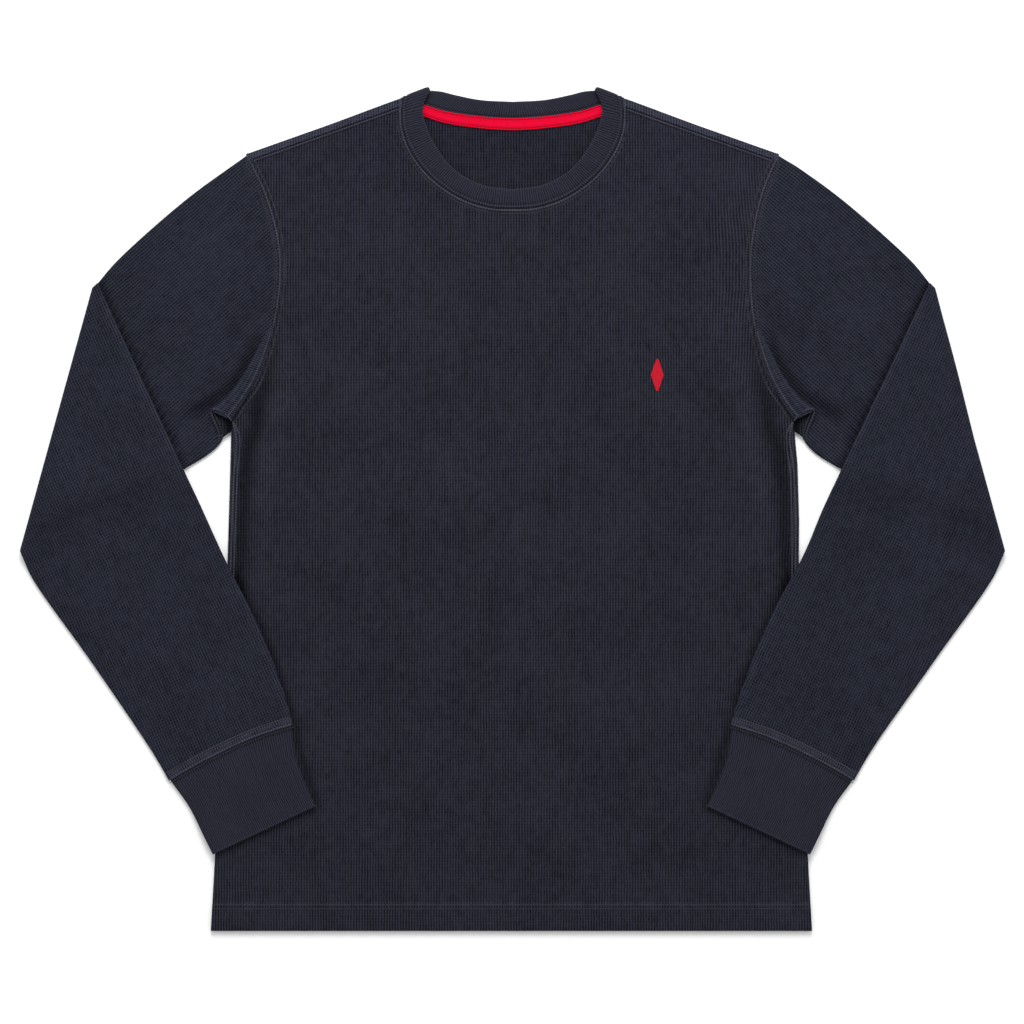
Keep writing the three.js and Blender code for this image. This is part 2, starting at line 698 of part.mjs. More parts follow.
const thermalTop = new THREE.Group();
thermalTop.add(
  piece("back_panel", backPanel(), waffleKnit),
  piece("front_panel", frontPanel(), waffleKnit),
  piece("sleeve_left", sleeve(-1), waffleKnit),
  piece("sleeve_right", sleeve(1), waffleKnit),
  piece("cuff_left", cuff(-1), ribKnit),
  piece("cuff_right", cuff(1), ribKnit),
  piece("neckband", neckband(), ribKnit),
  piece("neck_tape", neckTape(), redTape),
);

export default thermalTop;
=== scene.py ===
"""Dresses the packed thermal top: waffle-knit body and sleeves, ribbed cuffs and neckband, a red neck tape.
The garment lies flat on its back with both sleeves folded over at the elbow.
Lengths in tables and constants are millimetres. Meshes are made in metres, in the frame of the solids."""

import math
from functools import partial
from typing import NamedTuple

import bmesh
import bpy
import numpy as np
from bpy.props import FloatProperty, FloatVectorProperty, PointerProperty
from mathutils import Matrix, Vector


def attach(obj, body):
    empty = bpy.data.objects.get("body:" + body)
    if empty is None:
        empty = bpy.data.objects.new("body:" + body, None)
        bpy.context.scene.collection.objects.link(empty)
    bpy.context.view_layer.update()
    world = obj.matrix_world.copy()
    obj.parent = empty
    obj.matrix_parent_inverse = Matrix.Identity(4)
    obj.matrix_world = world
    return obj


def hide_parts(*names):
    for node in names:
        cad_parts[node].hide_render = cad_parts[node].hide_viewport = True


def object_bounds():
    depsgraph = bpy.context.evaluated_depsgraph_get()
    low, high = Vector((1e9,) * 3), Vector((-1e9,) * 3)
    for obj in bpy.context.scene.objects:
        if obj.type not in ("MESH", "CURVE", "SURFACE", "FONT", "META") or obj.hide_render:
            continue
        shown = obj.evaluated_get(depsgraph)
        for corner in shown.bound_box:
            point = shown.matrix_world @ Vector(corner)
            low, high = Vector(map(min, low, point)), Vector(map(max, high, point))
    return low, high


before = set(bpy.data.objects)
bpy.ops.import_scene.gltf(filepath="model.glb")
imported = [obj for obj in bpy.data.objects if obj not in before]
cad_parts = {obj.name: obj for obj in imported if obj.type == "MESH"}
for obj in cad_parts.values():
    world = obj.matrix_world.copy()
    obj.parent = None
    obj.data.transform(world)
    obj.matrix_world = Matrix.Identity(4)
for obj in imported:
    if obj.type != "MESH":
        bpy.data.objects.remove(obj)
CAD_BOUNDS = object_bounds()

bl_info = {
    "name": "Thermal Top",
    "version": (1, 0, 0),
    "blender": (4, 5, 0),
    "location": "View3D > Sidebar > Thermal Top",
    "description": "Dresses a waffle-knit thermal top that lies flat with its sleeves folded over",
    "category": "Add Mesh",
}

MM = 0.001
SIDES = ((-1, "left"), (1, "right"))


class Row(NamedTuple):
    """A point of an outline on one side of the garment."""

    out: float
    y: float


def rows(*points):
    """An outline's points as a table of Rows."""
    return tuple(Row(*point) for point in points)


class Crease(NamedTuple):
    """A soft trough, or with a height above nought a soft ridge, along a short run of (out, y) points.
    Its last field is the share of painted light: below nought painted shade, as in a trough, above nought
    painted highlight, as on a ridge; a crease of no height paints only a shadow."""

    run: tuple
    width: float
    height: float
    fade: float


# Cloth walls and the room between them, as in the solids
CLOTH = 1.4
GAP = 0.3
SEAM_GAP = 0.35
CUFF_CLOTH = 1.8
BAND_THICK = 2.4
TAPE_THICK = 1.0
TUBE_THICK = 2 * CLOTH + GAP
CUFF_THICK = 2 * CUFF_CLOTH + GAP

# Body
HEM_Y = -366.7
HEM_OUT = 262.5
HEM_DEPTH = 22.0
HEM_STEP = 3.0
HEM_EXTRA = 0.6
SIDE_BOW = 2.0
YOKE_CORNER = 0.4
YOKE_HEM_OUT = 216.0
NECK_COLUMN_OUT = 118.0

# Neck
SHOULDER_OUTER = Row(231.5, 307.8)
SHOULDER_INNER = Row(97.0, 355.4)
NECK_RISE = 1.7
NECK_RISE_REACH = 75.0
BAND_RISE = 2.3
FOLD_SEAM = Row(96.5, 355.6)
FOLD_FREE = Row(71.5, 364.6)

# Sleeve
ELBOW_TOP = Row(360.8, 197.0)
ELBOW_FOOT = Row(426.3, -41.0)
ELBOW_AXIS_Z = TUBE_THICK + 0.4
ELBOW_TOP_CORNER = 4.5
ELBOW_FOOT_CORNER = 3.5
FOREARM_ON_BODY = 3.5
FOREARM_ON_ARM = 2 * ELBOW_AXIS_Z - TUBE_THICK
CREASE_FOOT = Row(424.0, -28.0)
CREASE_END = Row(286.0, 31.0)
DRAPE_START = 1.5
DRAPE_RUN = 26.0
UNDERARM_GRIP = 12.0

ARMHOLE = rows(
    (231.5, 307.8), (215.0, 272.0), (204.6, 233.0), (203.4, 195.0),
    (211.0, 151.0), (224.0, 111.0), (239.5, 88.5), (244.5, 78.5),
)
NECK_FRONT = rows(
    (96.7, 347.0), (95.6, 331.0), (89.2, 312.8), (72.5, 290.0), (46.7, 271.4), (21.0, 262.6), (0.0, 261.3),
)
NECK_BACK = rows((97.0, 355.4), (78.0, 350.5), (60.5, 345.0), (37.0, 341.0), (0.0, 338.3))
BAND_FREE_FRONT = rows(
    (0.0, 278.7), (26.0, 282.5), (50.0, 295.5), (65.5, 314.5), (74.5, 333.0), (77.9, 349.0), FOLD_FREE,
)
BAND_FREE_BACK = rows(FOLD_FREE, (62.0, 363.8), (50.0, 360.8), (28.0, 356.5), (0.0, 354.9))
ARM_TOP = rows(SHOULDER_OUTER, (285.0, 269.0), (345.0, 215.5), ELBOW_TOP)
ARM_UNDER = rows(
    (244.5, 78.5), (248.5, 69.8), (256.5, 55.0), (286.0, 35.0), (355.0, 3.5), (412.0, -21.0), ELBOW_FOOT,
)
FOREARM_INNER = rows(
    ELBOW_TOP, (332.0, 134.5), (286.0, 35.0), (246.0, -51.5), (218.8, -105.7), (198.5, -160.0),
    (191.0, -187.0),
)
FOREARM_OUTER = rows(ELBOW_FOOT, (418.5, -59.0), (365.0, -135.0), (312.0, -213.5), (299.0, -236.0))
CUFF_SEAM = rows((191.0, -187.0), (225.5, -198.5), (266.0, -217.5), (299.0, -236.0))
CUFF_INSET = 1.2
CUFF_INNER = rows((188.5, -214.5), (178.0, -243.5), (170.8, -258.0))
CUFF_OUTER = rows((281.5, -258.5), (268.5, -284.0), (260.5, -300.0))

# Directions of the ribs from +X on the viewer's right side, in degrees; the left side mirrors them
ARM_GRAIN = -40.6
FOREARM_GRAIN = -114.5

# Soft creases of the front and of the sleeves' upper layers, as (out, y) runs on one side, with painted
# shade in their troughs and painted highlight on their ridges
SIDE_ROLL = ((246, 72), (242, 50), (241, 20), (243, -30), (247, -90))
SIDE_TROUGH = ((214, 116), (221, 93), (223, 73), (229, 56), (233, 34), (235, 0), (238, -50), (241, -110))
# Painted shadows on the body beside the forearm's and the cuff's inner edges
UNDER_FOREARM = Crease(((243, -52), (217.5, -106), (197, -160), (189, -187)), 3.5, 0.0, -0.5)
UNDER_CUFF = Crease(((189, -187), (184.5, -210), (177, -234), (168.5, -259)), 3.2, 0.0, -0.5)
BODY_CREASES = {
    -1: (
        Crease(SIDE_ROLL, 3.5, 0.9, 0.18),
        Crease(SIDE_TROUGH, 7.5, -1.0, -0.58),
        UNDER_FOREARM,
        UNDER_CUFF,
        Crease(((205, 176), (208, 150), (213, 118)), 6.0, -0.5, -0.2),
        Crease(((196, 124), (204, 88), (213, 44), (216, -10)), 8.0, 0.9, 0.16),
        Crease(((158, 104), (178, 80), (204, 62)), 12.0, -0.7, -0.08),
        Crease(((70, -170), (120, -150), (170, -160)), 26.0, -0.5, -0.05),
        Crease(((-30, 40), (30, 20), (80, 34)), 30.0, 0.5, 0.04),
    ),
    1: (
        Crease(SIDE_ROLL, 3.5, 0.9, 0.15),
        Crease(SIDE_TROUGH, 7.5, -1.0, -0.55),
        UNDER_FOREARM,
        UNDER_CUFF,
        Crease(((206, 168), (210, 142), (214, 114)), 6.0, -0.5, -0.22),
        Crease(((195, 128), (202, 92), (210, 50), (214, -4)), 8.0, 0.9, 0.14),
        Crease(((146, 112), (172, 90), (202, 74)), 11.0, -0.7, -0.07),
        Crease(((50, -116), (110, -96), (176, -118)), 24.0, -0.5, -0.05),
        Crease(((196, 214), (184, 170), (180, 120)), 18.0, 0.5, 0.05),
    ),
}
# The first two paint shade beside the underarm fold, and the third paints the shadow beside the forearm's
# edge
ARM_CREASES = (
    Crease(((221, 148), (231, 128), (241, 112), (253, 100), (268, 90), (284, 82)), 6.5, -0.9, -0.5),
    Crease(((259, 83), (256, 76), (253, 68)), 3.0, 0.0, -0.3),
    Crease(((366, 212), (331, 134), (285.5, 36.5)), 3.6, -0.4, -0.66),
    Crease(((214, 196), (230, 166), (252, 146)), 9.0, -0.6, -0.10),
    Crease(((268, 66), (288, 54), (318, 38)), 7.0, 0.5, 0.12),
    Crease(((232, 262), (262, 232), (300, 214)), 16.0, 0.4, 0.05),
)
# The first two paint a highlight along the forearm's inner edge
FOREARM_CREASES = (
    Crease(((358, 186), (335, 136), (314, 91), (289, 36)), 2.6, 0.4, 0.3),
    Crease(((246, -46), (222, -106), (202, -160), (195, -186)), 2.6, 0.3, 0.2),
    Crease(((420, -24), (380, -5), (340, 11), (304, 25)), 9.0, -0.8, -0.2),
    Crease(((412, -52), (372, -34), (330, -16)), 10.0, 0.6, 0.08),
    Crease(((392, 60), (370, 20), (344, -40)), 20.0, 0.5, 0.06),
    Crease(((300, -20), (276, -76), (250, -130)), 16.0, -0.5, -0.06),
    Crease(((352, -90), (316, -120), (270, -140)), 14.0, 0.4, 0.05),
)
# A crease dies away over this share of its length, inside and beyond each of its ends
CREASE_RUN_OUT = 0.15


def smooth(value):
    t = np.clip(value, 0.0, 1.0)
    return t * t * (3.0 - 2.0 * t)


def on_side(table, side):
    return np.array([(side * out, y) for out, y in table], float)


def left_of(run):
    """Unit plan vectors at a right angle to the left of other vectors."""
    run = run / np.linalg.norm(run, axis=-1, keepdims=True)
    return np.stack([-run[..., 1], run[..., 0]], -1)


def pairs(first, second):
    """Two coordinates that are spread over one grid, as points."""
    return np.stack(np.broadcast_arrays(first, second), -1)


def catmull_rom(points, steps=32):
    """A centripetal Catmull-Rom curve through points, as a fine run of points."""
    points = np.asarray(points, float)
    run = np.vstack([2 * points[0] - points[1], points, 2 * points[-1] - points[-2]])
    t = np.linspace(0.0, 1.0, steps, endpoint=False)[:, None]
    pieces = []
    for a, b, c, d in zip(run, run[1:], run[2:], run[3:]):
        ab, bc, cd = (max(np.linalg.norm(q - p), 1e-9) ** 0.5 for p, q in ((a, b), (b, c), (c, d)))
        start = ((b - a) / ab - (c - a) / (ab + bc) + (c - b) / bc) * bc
        end = ((c - b) / bc - (d - b) / (bc + cd) + (d - c) / cd) * bc
        pieces.append(
            (2 * t**3 - 3 * t**2 + 1) * b
            + (t**3 - 2 * t**2 + t) * start
            + (3 * t**2 - 2 * t**3) * c
            + (t**3 - t**2) * end
        )
    return np.vstack([*pieces, run[-2]])


class Line:
    """A run of points that is read by its share of length."""

    def __init__(self, points):
        self.points = np.asarray(points, float)
        steps = np.linalg.norm(np.diff(self.points, axis=0), axis=1)
        self.run = np.concatenate([[0.0], np.cumsum(steps)])
        self.length = self.run[-1]

    def __call__(self, share):
        at = np.clip(share, 0.0, 1.0) * self.length
        return np.stack([np.interp(at, self.run, column) for column in self.points.T], -1)

    def distance(self, points):
        """How far each plan point lies from this line."""
        a, b = self.points[:-1, :2], self.points[1:, :2]
        nearest = np.full(points.shape[:-1], np.inf)
        for start, end in zip(a, b):
            run = end - start
            along = np.clip(((points - start) @ run) / max(run @ run, 1e-9), 0.0, 1.0)
            away = np.linalg.norm(points - start - along[..., None] * run, axis=-1)
            nearest = np.minimum(nearest, away)
        return nearest


def curve(table, side):
    return Line(catmull_rom(on_side(table, side)))


def across_garment(table):
    """A curve over both sides, from left to right."""
    right = on_side(table, 1)[:-1][::-1]
    return Line(catmull_rom(np.vstack([on_side(table, -1), right])))


def coons(near, far, left, right, along, across):
    """A patch of plan points between four edges."""
    along = along[:, None, None]
    across = across[None, :, None]
    lines = near + (far - near) * along
    left_pull = left[:, None] - (near[:, :1] + (far[:, :1] - near[:, :1]) * along)
    right_pull = right[:, None] - (near[:, -1:] + (far[:, -1:] - near[:, -1:]) * along)
    return lines + (1.0 - across) * left_pull + across * right_pull


def relief(creases, side, points):
    """The height that a set of creases adds at plan points, and the painted shade and highlight that they
    lay on the colour.
    """
    height, fade = np.zeros(points.shape[:-1]), np.zeros(points.shape[:-1])
    for crease in creases:
        line = Line(catmull_rom(on_side(crease.run, side), steps=6))
        ends = Line(line.points[[0, -1]])
        away = line.distance(points)
        reach = ((points - ends.points[0]) @ (ends.points[1] - ends.points[0])) / ends.length**2
        starts = smooth((reach + CREASE_RUN_OUT) / (2 * CREASE_RUN_OUT))
        stops = smooth((1.0 + CREASE_RUN_OUT - reach) / (2 * CREASE_RUN_OUT))
        here = np.exp(-((away / crease.width) ** 2)) * starts * stops
        height += crease.height * here
        fade += crease.fade * here
    return height, fade


def side_out(y):
    underarm = ARMHOLE[-1]
    down = np.clip((underarm.y - y) / (underarm.y - HEM_Y), 0.0, 1.0)
    return underarm.out + (HEM_OUT - underarm.out) * down - SIDE_BOW * 4 * down * (1 - down)


def hem_extra(y):
    return HEM_EXTRA * (1.0 - smooth((y - HEM_Y - HEM_DEPTH) / HEM_STEP))


def front_base(points):
    x, y = points[..., 0], points[..., 1]
    away = np.hypot(np.abs(x) - SHOULDER_INNER.out, y - SHOULDER_INNER.y)
    return CLOTH + hem_extra(y) + GAP + NECK_RISE * (1.0 - smooth(away / NECK_RISE_REACH))


def forearm_base(points):
    out, y = np.abs(points[..., 0]), points[..., 1]
    run = np.array([CREASE_END.out - CREASE_FOOT.out, CREASE_END.y - CREASE_FOOT.y])
    below_arm = ((y - CREASE_FOOT.y) * run[0] - (out - CREASE_FOOT.out) * run[1]) / np.linalg.norm(run)
    beyond_body = out - side_out(y)
    on_arm = 1.0 - smooth((below_arm - DRAPE_START) / DRAPE_RUN)
    on_body = 1.0 - smooth((beyond_body - DRAPE_START) / DRAPE_RUN)
    return np.maximum(FOREARM_ON_ARM * on_arm, FOREARM_ON_BODY * on_body)


def sides_of(corners):
    """The four sides of each quad, as pairs of its corners."""
    return np.concatenate([corners[:, [k, (k + 1) % 4]] for k in range(4)])


class Cloth:
    """Collects grids of outer points, knit coordinates, inner points and painted light, and makes a mesh of
    them.
    """

    def __init__(self):
        self.grids = []

    def add(self, outer, knit, inner=None, fade=0.0):
        self.grids.append((outer, knit, inner, np.broadcast_to(fade, outer.shape[:2])))

    def quads(self):
        """The corners of every grid's quads, counted on through all grids."""
        start = 0
        for outer, _, _, _ in self.grids:
            corner = start + np.arange(outer[..., 0].size).reshape(outer.shape[:2])
            quad = corner[:-1, :-1], corner[1:, :-1], corner[1:, 1:], corner[:-1, 1:]
            yield np.stack(quad, -1).reshape(-1, 4)
            start += corner.size

    def mesh(self, name):
        outer = np.vstack([grid[0].reshape(-1, 3) for grid in self.grids])
        knit = np.vstack([grid[1].reshape(-1, 2) for grid in self.grids])
        whole_steps = np.round(outer * 1000).astype(np.int64)
        _, first, index = np.unique(whole_steps, axis=0, return_index=True, return_inverse=True)
        corners = np.vstack(list(self.quads()))
        faces = index.reshape(-1)[corners]
        whole = np.array([len(set(face)) == 4 for face in faces.tolist()])
        faces, corners = faces[whole], corners[whole]
        points = outer[first]
        fade = np.concatenate([grid[3].reshape(-1) for grid in self.grids])[first]
        maps = knit[corners]
        if self.grids[0][2] is None:
            return mesh_of(name, points, faces, maps, fade)
        inner = np.vstack([grid[2].reshape(-1, 3) for grid in self.grids])[first]
        count = len(points)
        edges = sides_of(faces)
        edge_code = edges[:, 0] * count + edges[:, 1]
        is_open = ~np.isin(edge_code, edges[:, 1] * count + edges[:, 0])
        rim, rim_map = edges[is_open], sides_of(maps)[is_open]
        rim_faces = np.stack([rim[:, 1], rim[:, 0], rim[:, 0] + count, rim[:, 1] + count], -1)
        rim_maps = rim_map[:, [1, 0, 0, 1]]
        return mesh_of(
            name,
            np.vstack([points, inner]),
            np.vstack([faces, (faces + count)[:, ::-1], rim_faces]),
            np.vstack([maps, maps[:, ::-1], rim_maps]),
            np.concatenate([fade, fade]),
        )


SHARP_ANGLE = math.radians(50)


def mesh_of_grid(name, outer, knit, inner=None, fade=0.0):
    """The mesh of a piece that is a single grid."""
    cloth = Cloth()
    cloth.add(outer, knit, inner, fade)
    return cloth.mesh(name)


def mesh_of(name, points, faces, maps, fade):
    """A smooth-shaded mesh with outward faces, a knit map in metres and a point attribute of painted light
    and shade.
    """
    a, b, c, d = (points[faces[:, k]] for k in range(4))
    volume = (np.cross(a, b) * c).sum() + (np.cross(a, c) * d).sum()
    if volume < 0:
        faces, maps = faces[:, ::-1], maps[:, ::-1]
    mesh = bpy.data.meshes.new(name)
    mesh.from_pydata((points * MM).tolist(), [], faces.tolist())
    layer = mesh.uv_layers.new(name="knit")
    layer.data.foreach_set("uv", (maps * MM).reshape(-1))
    mesh.attributes.new("fade", "FLOAT", "POINT").data.foreach_set("value", fade)
    mesh.polygons.foreach_set("use_smooth", np.ones(len(mesh.polygons), bool))
    mesh.set_sharp_from_angle(angle=SHARP_ANGLE)
    mesh.validate()
    return mesh


class Lay(NamedTuple):
    """How the right side was laid at one height: the moves outwards of the armhole or side seam and of all
    beyond it, and the x from which the second move begins."""

    y: float
    seam: float
    beyond: float
    start: float


# The right side was laid a few millimetres apart from the mirrored left side
RIGHT_LAY = (
    Lay(-367.0, 0.0, -1.8, 150.0), Lay(-200.0, 0.0, -1.8, 150.0), Lay(-140.0, 0.0, 0.0, 180.0),
    Lay(-80.0, 0.0, 0.0, 250.0), Lay(-45.0, 1.2, 0.0, 250.0), Lay(-9.0, 2.6, 0.0, 250.0),
    Lay(40.0, 2.6, 0.0, 250.0), Lay(62.0, 1.0, 0.0, 250.0), Lay(88.0, 0.3, 0.7, 250.0),
    Lay(115.0, 1.4, 1.4, 226.0), Lay(140.0, 2.1, 1.7, 214.0), Lay(170.0, 3.2, 1.8, 208.0),
    Lay(195.0, 4.7, 2.2, 205.0), Lay(215.0, 4.9, 2.8, 205.0), Lay(240.0, 4.6, 2.8, 207.0),
    Lay(262.0, 3.0, 2.8, 213.0), Lay(285.0, 1.2, 2.8, 221.0), Lay(303.0, 0.3, 2.6, 227.0),
    Lay(312.0, 0.0, 0.6, 230.0),
)
LAY_REACH_IN = 40.0
LAY_REACH_OUT = 24.0


def lay_right_side(mesh):
    """Moves the points of the right side to where that side was laid."""
    points = np.empty(len(mesh.vertices) * 3)
    mesh.vertices.foreach_get("co", points)
    points = points.reshape(-1, 3)
    x, y = points[:, 0] / MM, points[:, 1] / MM
    seam = curve(ARMHOLE, 1).points[::-1]
    centre = np.where(y < seam[0, 1], side_out(y), np.interp(y, seam[:, 1], seam[:, 0]))
    reach = np.where(x < centre, LAY_REACH_IN, LAY_REACH_OUT)
    lay_y, lay_seam, lay_beyond, lay_start = np.array(RIGHT_LAY).T
    near = 1.0 - smooth(np.abs(x - centre) / reach)
    beyond = smooth((x - np.interp(y, lay_y, lay_start)) / LAY_REACH_OUT)
    moves = np.interp(y, lay_y, lay_seam) * near + np.interp(y, lay_y, lay_beyond) * beyond
    points[:, 0] += moves * (x > 0) * MM
    mesh.vertices.foreach_set("co", points.ravel())
    mesh.update()


def add_piece(mesh, material, nodes=()):
    """Puts a mesh in the scene as a finished piece of the garment."""
    lay_right_side(mesh)
    piece = bpy.data.objects.new(mesh.name, mesh)
    bpy.context.scene.collection.objects.link(piece)
    mesh.materials.clear()
    mesh.materials.append(material)
    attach(piece, "root")
    if nodes:
        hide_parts(*nodes)
    return piece


def plan_area(grids):
    """The flat area of grids of plan points, in square metres."""
    total = 0.0
    for grid in grids:
        plan = grid[..., :2]
        p, q = plan[1:, 1:] - plan[:-1, :-1], plan[1:, :-1] - plan[:-1, 1:]
        total += np.abs(p[..., 0] * q[..., 1] - p[..., 1] * q[..., 0]).sum() / 2
    return total * MM * MM


def joined(*runs):
    """Shares from several runs, each run given as (start, end, steps)."""
    return np.unique(np.concatenate([np.linspace(*run) for run in runs]).round(6))


def with_height(points, z):
    return np.concatenate([points, np.asarray(z)[..., None]], -1)


# Body panels

EDGE_INSETS = (0.0, 0.15, 0.5, 1.0, 1.6, 2.6)
EDGE_ROUND = 1.6
EDGE_THIN = 0.35
LOWER_ARMHOLE_COLUMNS = 16
SHOULDER_COLUMNS = 22
NECK_COLUMNS = 84
HEM_ROWS = np.array([0.0, 0.15, 0.5, 1.0, 1.8, 6.0, 10.0, 14.0, 18.0, 20.0, 21.0, *np.linspace(22, 26, 7)])
PANEL_ROWS = joined((0.0, 0.94, 84), (0.94, 1.0, 10))[1:]
YOKE_ROWS = joined((0.0, 0.8, 46), (0.8, 0.97, 16), (0.97, 1.0, 6))


def edge_share(inset):
    """How much of the wall is left at a distance from a rounded edge."""
    t = np.clip(np.asarray(inset, float) / EDGE_ROUND, 0.0, 1.0)
    return EDGE_THIN + (1.0 - EDGE_THIN) * np.sqrt(1.0 - (1.0 - t) ** 2)


def panel_columns():
    """The lower part's columns: their x at the hem, top points and distances from the side edge, and the
    number of the column at the yoke's left corner."""
    armhole = curve(ARMHOLE, -1)
    insets = np.array(EDGE_INSETS)
    edge = armhole(1.0 - insets / armhole.length)
    start = 1.0 - EDGE_INSETS[-1] / armhole.length
    rest = armhole(np.linspace(start, YOKE_CORNER, LOWER_ARMHOLE_COLUMNS + 1)[1:])
    yoke = rest[-1]
    outs = np.concatenate([
        np.linspace(-yoke[0], NECK_COLUMN_OUT, SHOULDER_COLUMNS + 1)[1:],
        np.linspace(NECK_COLUMN_OUT, 0.0, NECK_COLUMNS // 2 + 1)[1:],
    ])
    middle = np.stack([-outs, np.full(len(outs), yoke[1])], -1)
    hem = np.concatenate([
        -HEM_OUT + insets,
        np.linspace(-HEM_OUT + insets[-1], -YOKE_HEM_OUT, LOWER_ARMHOLE_COLUMNS + 1)[1:],
        -outs * (YOKE_HEM_OUT / -yoke[0]),
    ])
    top = np.vstack([edge, rest, middle])
    inset = np.concatenate([insets, np.full(len(top) - len(insets), np.inf)])
    mirror = np.array([-1.0, 1.0])
    return (
        np.concatenate([hem, -hem[-2::-1]]),
        np.vstack([top, top[-2::-1] * mirror]),
        np.concatenate([inset, inset[-2::-1]]),
        len(insets) + len(rest) - 1,
    )


def lower_panel():
    """Plan points of a panel from the hem to the armholes, with the wall's share that is left at each."""
    hem, top, inset, _ = panel_columns()
    hem_top = HEM_Y + HEM_ROWS[-1]
    y = np.vstack([
        np.repeat((HEM_Y + HEM_ROWS)[:, None], len(hem), 1),
        hem_top + PANEL_ROWS[:, None] * (top[None, :, 1] - HEM_Y - HEM_ROWS[-1]),
    ])
    share = (y - HEM_Y) / (top[:, 1] - HEM_Y)
    x = hem + (top[:, 0] - hem) * share
    x = x - SIDE_BOW * 4 * share * (1 - share) * x / HEM_OUT
    left = edge_share(inset)[None, :] * edge_share(y - HEM_Y)
    return np.stack([x, y], -1), left


def upper_panel(top_edge, first_share):
    """Plan points of a panel from the yoke line to the shoulders and the neck."""
    _, top, _, first = panel_columns()
    near = top[first : len(top) - first]
    left = curve(ARMHOLE, -1)(YOKE_CORNER + (first_share - YOKE_CORNER) * YOKE_ROWS)
    across = np.linspace(0.0, 1.0, len(near))
    return coons(near[None], top_edge[None], left, left * (-1, 1), YOKE_ROWS, across)


def top_edge_of(start, end, neck):
    """A panel's top edge: a shoulder, the neck and the other shoulder."""
    share = np.linspace(0.0, 1.0, SHOULDER_COLUMNS + 1)[:, None]
    shoulder = np.asarray(start) + (np.asarray(end) - np.asarray(start)) * share
    return np.vstack([shoulder[:-1], neck, (shoulder * (-1, 1))[::-1][1:]])


class Wave(NamedTuple):
    """One of the waves that pucker the hem's seam."""

    height: float
    length: float
    start: float


NECK_SHARES = np.linspace(0.0, 1.0, NECK_COLUMNS + 1)
FRONT_SHOULDER_SHARE = 0.033
HEM_PUCKER = (Wave(0.09, 3.7, 0.0), Wave(0.07, 6.1, 1.3), Wave(0.05, 2.3, 0.4))
HEM_PUCKER_REACH = 5.0
# The hem's waves are painted paler on their crests and darker in their dips, as highlight and shade, by this
# share of their height
HEM_PUCKER_PAINTED_LIGHT = 0.6
# The creases level out over this width at the body's free edge
FREE_EDGE = 4.0


def front_relief(points):
    """Creases on both sides, and the slight pucker of the hem: their heights, and the painted shade and
    highlight that follow them.
    """
    x, y = points[..., 0], points[..., 1]
    left, right = relief(BODY_CREASES[-1], -1, points), relief(BODY_CREASES[1], 1, points)
    hem = np.exp(-(((y - HEM_Y - HEM_DEPTH) / HEM_PUCKER_REACH) ** 2))
    pucker = sum(wave.height * np.sin(x / wave.length + wave.start) for wave in HEM_PUCKER)
    edge = np.clip((side_out(y) - np.abs(x)) / FREE_EDGE, 0.0, 1.0)
    height = (left[0] + right[0]) * np.where(y < ARMHOLE[-1].y, edge, 1.0) + hem * pucker
    return height, left[1] + right[1] + hem * pucker * HEM_PUCKER_PAINTED_LIGHT


def front_surface(points, left=1.0):
    """Upper and lower heights of the front panel at plan points, and its painted light and shade."""
    base = front_base(points)
    lift, fade = front_relief(points)
    raise_under = np.maximum(lift, 0.0)
    return base + (CLOTH + hem_extra(points[..., 1])) * left + lift, base + raise_under, fade


def front_panel_mesh():
    neck = across_garment(NECK_FRONT)(NECK_SHARES)
    start = curve(ARMHOLE, -1)(FRONT_SHOULDER_SHARE)
    lower, left = lower_panel()
    upper = upper_panel(top_edge_of(start, neck[0], neck), FRONT_SHOULDER_SHARE)
    cloth = Cloth()
    for plan, share in ((lower, left), (upper, np.ones(upper.shape[:2]))):
        top, bottom, fade = front_surface(plan, share)
        cloth.add(with_height(plan, top), plan, with_height(plan, bottom), fade)
    return cloth.mesh("waffle_front"), plan_area([lower, upper])


# The shoulder strip from its fold to the seam: pressed crests with painted highlight beside a hollow with
# painted shade, then the seam's painted shadow
FLANGE_SHARES = (0.0, 0.1, 0.2, 0.3, 0.45, 0.58, 0.66, 0.74, 1.0)
FLANGE_PAINTED_LIGHT = (0.45, 0.95, 0.85, 0.35, 1.0, 0.4, -0.65, 0.1, 0.0)
FLANGE_HEIGHTS = (0.0, 0.35, 0.4, 0.1, 0.5, 0.2, -0.35, 0.0, 0.0)
FLANGE_TURNS = 11
FLANGE_STRIPS = 25


def forward_seam(side, shares):
    """Points of the forward shoulder seam at shares from the armhole to the neck."""
    start, end = curve(ARMHOLE, side)(FRONT_SHOULDER_SHARE), on_side(NECK_FRONT[:1], side)[0]
    return start + (end - start) * shares


